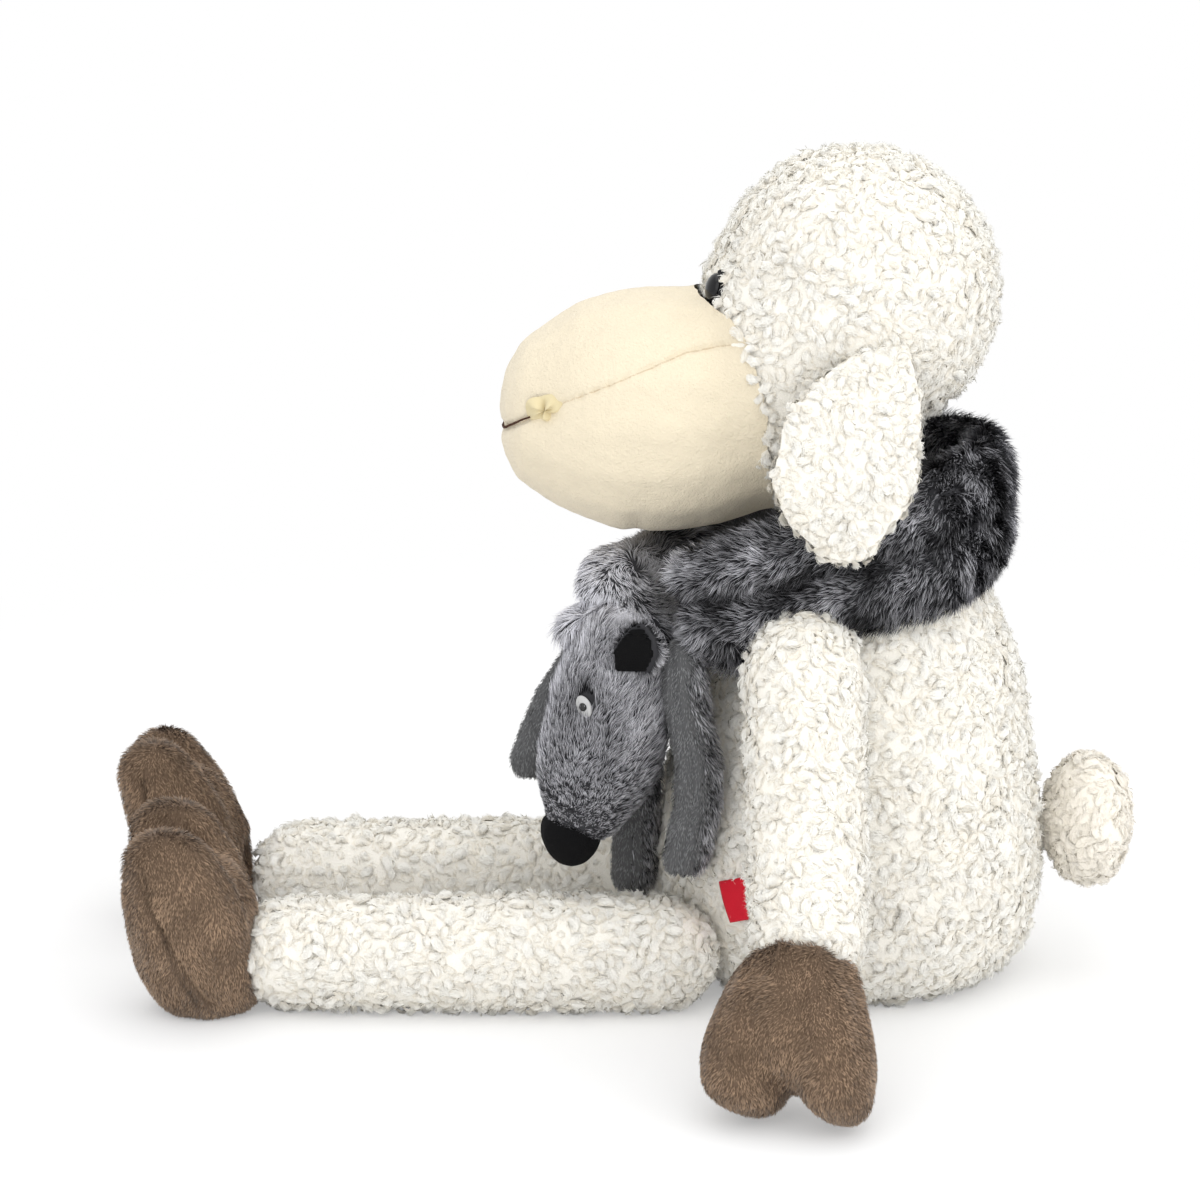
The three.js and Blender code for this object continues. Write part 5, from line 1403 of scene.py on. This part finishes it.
class SHEEP_OT_wolf_head(bpy.types.Operator):
    """Builds the wolf's head with its nose, ears and felt eyes"""

    bl_idname = "sheep.wolf_head"
    bl_label = "Wolf head"

    def execute(self, context):
        rng = np.random.default_rng(300)
        form = form_of(["wolf_head"], 2 * MM, 10, hull=True)
        middle, tip = centre_of("wolf_head"), centre_of("wolf_nose")
        lined = form_of(["wolf_ear_lining_left"], 1.5 * MM, 2).points + EAR_SHIFT

        def lay(place):
            return unit(place - tip) + (place - middle) * [3, 3, 0]

        def reach(place):
            return CROWN_FUR * np.clip(np.linalg.norm(place - tip, axis=1) / CROWN_OFF, 0.25, 1)

        def clear(place):
            margin = np.where(place[:, 2] < lined[:, 2].min() + 2 * MM, 2.5 * MM, 5 * MM)
            return (from_pair(place, "wolf_eye") > EYE_CLEAR) & (distances(place, lined) > margin)

        def tone(place):
            ridge = bell(place[:, 1] - middle[1], 16 * MM)
            return 0.56 + 0.25 * ridge - 0.4 * bell(from_pair(place, "wolf_eye"), EYE_DARK)

        head = furred(
            context, "wolf_head_fur", "wolf_head", form, rng, lay, reach, clear, 1.6, tone,
            lift=0.34, mottle=0.35,
        )
        black = nap_material("Black nose cloth", NOSE_BLACK, spread=0.3, strength=0.8, sheen=0.0)
        nose = nose_shape(form_of(["wolf_nose"], 1.2 * MM, 12, hull=True, grow=0.6 * MM))
        cloth_piece("wolf_nose_cloth", "wolf_nose", black, nose)
        felt = nap_material("Grey felt", (0.5, 0.5, 0.5), spread=0.15, strength=0.7)
        pupil = gloss_material("Wolf pupil", (0.01, 0.01, 0.01), 0.15, 0.3)
        for word in SIDES:
            self.ear(context, word, rng, black)
            node = f"wolf_eye_{word}"
            seat = centre_of(node), flat_axis(node, middle)
            turned(f"wolf_eye_felt_{word}", node, "wolf_eye", felt, EYE_DROP, *seat, stretch=(1, 1.45))
            name = f"wolf_pupil_bead_{word}"
            turned(name, f"wolf_pupil_{word}", "eye", pupil, EYE_BEAD, *seat, segments=24)
        return {"FINISHED"}

    def ear(self, context, word, rng, black):
        """A furred ear with its black lining."""
        node, inner = f"wolf_ear_{word}", f"wolf_ear_lining_{word}"
        shift = EAR_SHIFT * (word == "left")
        form = form_of([node, inner], 1.2 * MM, 6)
        form = form._replace(points=form.points + shift)
        lining = form_of([inner], 0.9 * MM, 4, hull=True, grow=0.6 * MM)
        cup = lining.points.mean(0)
        stretched = cup + (lining.points - cup) * CUP_STRETCH + shift + CUP_SHIFT
        lining = lining._replace(points=stretched)
        middle = centre_of(node) + shift
        furred(
            context, f"wolf_ear_fur_{word}", node, form, rng, lambda place: unit(place - middle),
            5 * MM, lambda place: distances(place, lining.points) >= 1.8 * MM, 1.8, 0.7, mottle=0.3,
        )
        cloth_piece(f"wolf_ear_cloth_{word}", inner, black, lining)


# Height and sideways shift of the near hind limb, from its hem to its root
LIMB_BEND = [
    (0.063, -0.0065), (0.081, -0.003), (0.107, 0.003), (0.127, 0.003), (0.148, -0.003),
    (0.163, -0.007), (0.184, -0.008),
]
# Heights between which its root is raised, and by how much
LIMB_ROOT, LIMB_RAISE = (0.165, 0.183), 6 * MM
# Depth and width of the seam down a limb
LIMB_SEAM = (1.4 * MM, 1.5 * MM)


def limb_shape(form, bend):
    """Flattens a limp limb's hem, draws it in along its seam, and bends it with its root raised."""
    points = form.points.copy()
    hem_height = points[:, 2].min() + 3 * MM
    points[:, 2] = np.maximum(points[:, 2], hem_height - (hem_height - points[:, 2]) * 0.3)
    seam = points[:, 0] - (points[:, 0].min() + points[:, 0].max()) / 2 + 3 * MM
    side = np.clip(-form.normals[:, 1], 0, 1)
    depth, width = LIMB_SEAM
    points -= form.normals * (depth * side * bell(seam, width))[:, None]
    if bend:
        points[:, 0] += interpolated(points[:, 2], bend)
        points[:, 2] += LIMB_RAISE * ramp(points[:, 2], *LIMB_ROOT)
    return renewed(points, form.triangles)


class SHEEP_OT_wolf_limbs(bpy.types.Operator):
    """Builds the wolf's limp limbs"""

    bl_idname = "sheep.wolf_limbs"
    bl_label = "Wolf limbs"

    def execute(self, context):
        for i, kind, word in paired("hindleg", "foreleg"):
            rng = np.random.default_rng(400 + i)
            node = f"wolf_{kind}_{word}"
            bend = LIMB_BEND if (kind, word) == ("hindleg", "left") else ()
            form = limb_shape(form_of([node], 1.8 * MM, 10, grow=-0.3 * MM), bend)
            short_pile(context, f"{node}_pile", node, form, rng)
            if kind == "hindleg":
                self.fur_side(context, node, form, rng)
        return {"FINISHED"}

    def fur_side(self, context, node, form, rng):
        """Long fur on the rear side of a hind limb."""
        fur = context.scene.sheep_fur
        place, facing = scattered(form, fur.density * PER_MM2, rng)
        keep = facing[:, 0] > 0.5 + 0.15 * rng.normal(0, 1, len(place))
        place, facing = place[keep], facing[keep]
        shade = 0.6 + 0.2 * patches(place, 15 * MM, rng)
        hair = strands(place, facing, DOWN, rng, 6 * MM, fur.width, 0.5, 5 * MM, shade)
        fibre_piece(f"{node}_fur", node, "wolf_fur", fur_material(fur), hair, stands=False)


class SHEEP_OT_filling(bpy.types.Operator):
    """Builds the filling and the granule bag inside"""

    bl_idname = "sheep.filling"
    bl_label = "Filling"

    def execute(self, context):
        fibre = nap_material("Fibre filling", (0.85, 0.85, 0.84), fibres=400.0, strength=0.9)
        cloth = nap_material("Granule bag cloth", (0.62, 0.58, 0.5), fibres=1800.0)
        for node, name, material, slot in (
            ("torso_stuffing", "torso_filling", fibre, "stuffing"),
            ("head_stuffing", "head_filling", fibre, "stuffing"),
            ("granule_bag", "granule_pouch", cloth, "granules"),
        ):
            cloth_piece(name, node, material, form_of([node], 5 * MM, 4, grow=-1.5 * MM))
        return {"FINISHED"}


# Stage

STAGE_TARGET = Vector((-0.13, 0.0, 0.192))
CAMERA_ELEVATION = math.radians(14)
SENSOR = 36.0
FLOOR_HALF = 4.0
# How far from the middle the floor starts to turn white and is white, and how white it is before
FLOOR_FADE, FLOOR_WHITE = (0.3, 0.95), 0.3
# Strength of the world as light that falls on things
WORLD_LIGHT = 0.86
# Name, place, side and power of each square lamp
LAMPS = (
    ("key", (-0.3, -2.3, 1.5), 2.8, 25.5),
    ("fill", (1.7, -1.2, 1.3), 1.8, 12),
    ("top", (-0.1, 0.1, 2.3), 2.2, 15),
)


def aimed(name, data, place):
    """A lamp or camera at a place, looking at the sheep."""
    made = bpy.data.objects.new(name, data)
    made.location = place
    made.rotation_euler = (STAGE_TARGET - Vector(place)).to_track_quat("-Z", "Y").to_euler()
    bpy.context.scene.collection.objects.link(made)
    return made


class SHEEP_OT_stage(bpy.types.Operator):
    """Builds the floor, the lamps and the camera"""

    bl_idname = "sheep.stage"
    bl_label = "Stage"

    def execute(self, context):
        scene = context.scene
        scene.view_settings.view_transform = "Standard"
        stage_floor(scene.sheep_stage)
        stage_world(scene)
        for name, place, size, power in LAMPS:
            data = bpy.data.lights.new(name, "AREA")
            data.shape, data.size, data.energy = "SQUARE", size, power
            aimed(name, data, place)
        stage_camera(scene)
        return {"FINISHED"}


def stage_floor(stage):
    """A pale floor that keeps the shadow near the sheep and turns white further off."""
    mesh = bpy.data.meshes.new("floor")
    corners = [(x * FLOOR_HALF, y * FLOOR_HALF, 0) for x, y in ((-1, -1), (1, -1), (1, 1), (-1, 1))]
    mesh.from_pydata(corners, [], [(0, 1, 2, 3)])
    floor = bpy.data.objects.new("floor", mesh)
    bpy.context.scene.collection.objects.link(floor)
    material, tree, shader, place = new_material("Pale floor")
    nap = nap_of(tree, place, 3.0, 200.0)
    tint = mixed(tree, nap["Patches"], rgba(stage.floor), rgba(stage.floor, 1.01))
    feed(shader, {"Base Color": tint, "Roughness": 1.0, "Specular IOR Level": 0.0})
    white = add(tree, "Emission", {"Color": (1, 1, 1, 1), "Strength": 1.0})["Emission"]
    far = add(tree, "VectorMath", {0: place}, operation="LENGTH")["Value"]
    fade = ranged(tree, far, FLOOR_WHITE, 1.0, *FLOOR_FADE, "SMOOTHSTEP")
    seen = add(tree, "LightPath")["Is Camera Ray"]
    share = add(tree, "Math", {0: fade, 1: seen}, operation="MULTIPLY")[0]
    mix = add(tree, "MixShader", {"Fac": share, 1: shader.outputs["BSDF"], 2: white})
    feed(tree.nodes["Material Output"], {"Surface": mix["Shader"]})
    mesh.materials.append(material)


def stage_world(scene):
    """White as the camera and reflections see it, dimmer as the light that falls on things."""
    world = bpy.data.worlds.new("Studio")
    world.use_nodes = True
    scene.world = world
    tree = world.node_tree
    path = add(tree, "LightPath")
    seen = path["Is Camera Ray"]
    for ray in ("Is Glossy Ray", "Is Transmission Ray"):
        seen = add(tree, "Math", {0: seen, 1: path[ray]}, operation="MAXIMUM")[0]
    level = ranged(tree, seen, WORLD_LIGHT, 1.0)
    feed(tree.nodes["Background"], {"Color": (1, 1, 1, 1), "Strength": level})


def stage_camera(scene):
    """The camera looks from the sheep's left side, a little from above."""
    stage = scene.sheep_stage
    away = Vector((0, -math.cos(CAMERA_ELEVATION), math.sin(CAMERA_ELEVATION)))
    data = bpy.data.cameras.new("camera")
    data.sensor_width = SENSOR
    data.lens = SENSOR * stage.distance / stage.width
    data.clip_end = 50
    scene.camera = aimed("camera", data, STAGE_TARGET + away * stage.distance)


class SHEEP_PT_panel(bpy.types.Panel):
    """Lists the pieces of the sheep"""

    bl_label = "Plush sheep"
    bl_idname = "SHEEP_PT_panel"
    bl_space_type = "VIEW_3D"
    bl_region_type = "UI"
    bl_category = "Sheep"

    def draw(self, context):
        layout = self.layout
        for group in SETTINGS:
            box = layout.box()
            settings = getattr(context.scene, group)
            for key in settings.__annotations__:
                box.prop(settings, key)
        for operator in OPERATORS:
            layout.operator(operator.bl_idname)


SETTINGS = {
    "sheep_wool": SheepWoolSettings,
    "sheep_fur": SheepFurSettings,
    "sheep_hoof": SheepHoofSettings,
    "sheep_face": SheepFaceSettings,
    "sheep_stage": SheepStageSettings,
}
OPERATORS = (
    SHEEP_OT_stage,
    SHEEP_OT_torso,
    SHEEP_OT_head,
    SHEEP_OT_muzzle,
    SHEEP_OT_eyes,
    SHEEP_OT_ears,
    SHEEP_OT_tail,
    SHEEP_OT_limbs,
    SHEEP_OT_hoofs,
    SHEEP_OT_scarf,
    SHEEP_OT_wolf_head,
    SHEEP_OT_wolf_limbs,
    SHEEP_OT_filling,
)
CLASSES = (*SETTINGS.values(), *OPERATORS, SHEEP_PT_panel)


def register():
    for kind in CLASSES:
        bpy.utils.register_class(kind)
    for name, kind in SETTINGS.items():
        setattr(bpy.types.Scene, name, PointerProperty(type=kind))


def unregister():
    for name in SETTINGS:
        delattr(bpy.types.Scene, name)
    for kind in CLASSES:
        bpy.utils.unregister_class(kind)


def main():
    """Builds every piece in order."""
    register()
    for operator in OPERATORS:
        group, name = operator.bl_idname.split(".")
        getattr(getattr(bpy.ops, group), name)()


if __name__ == "__main__":
    main()
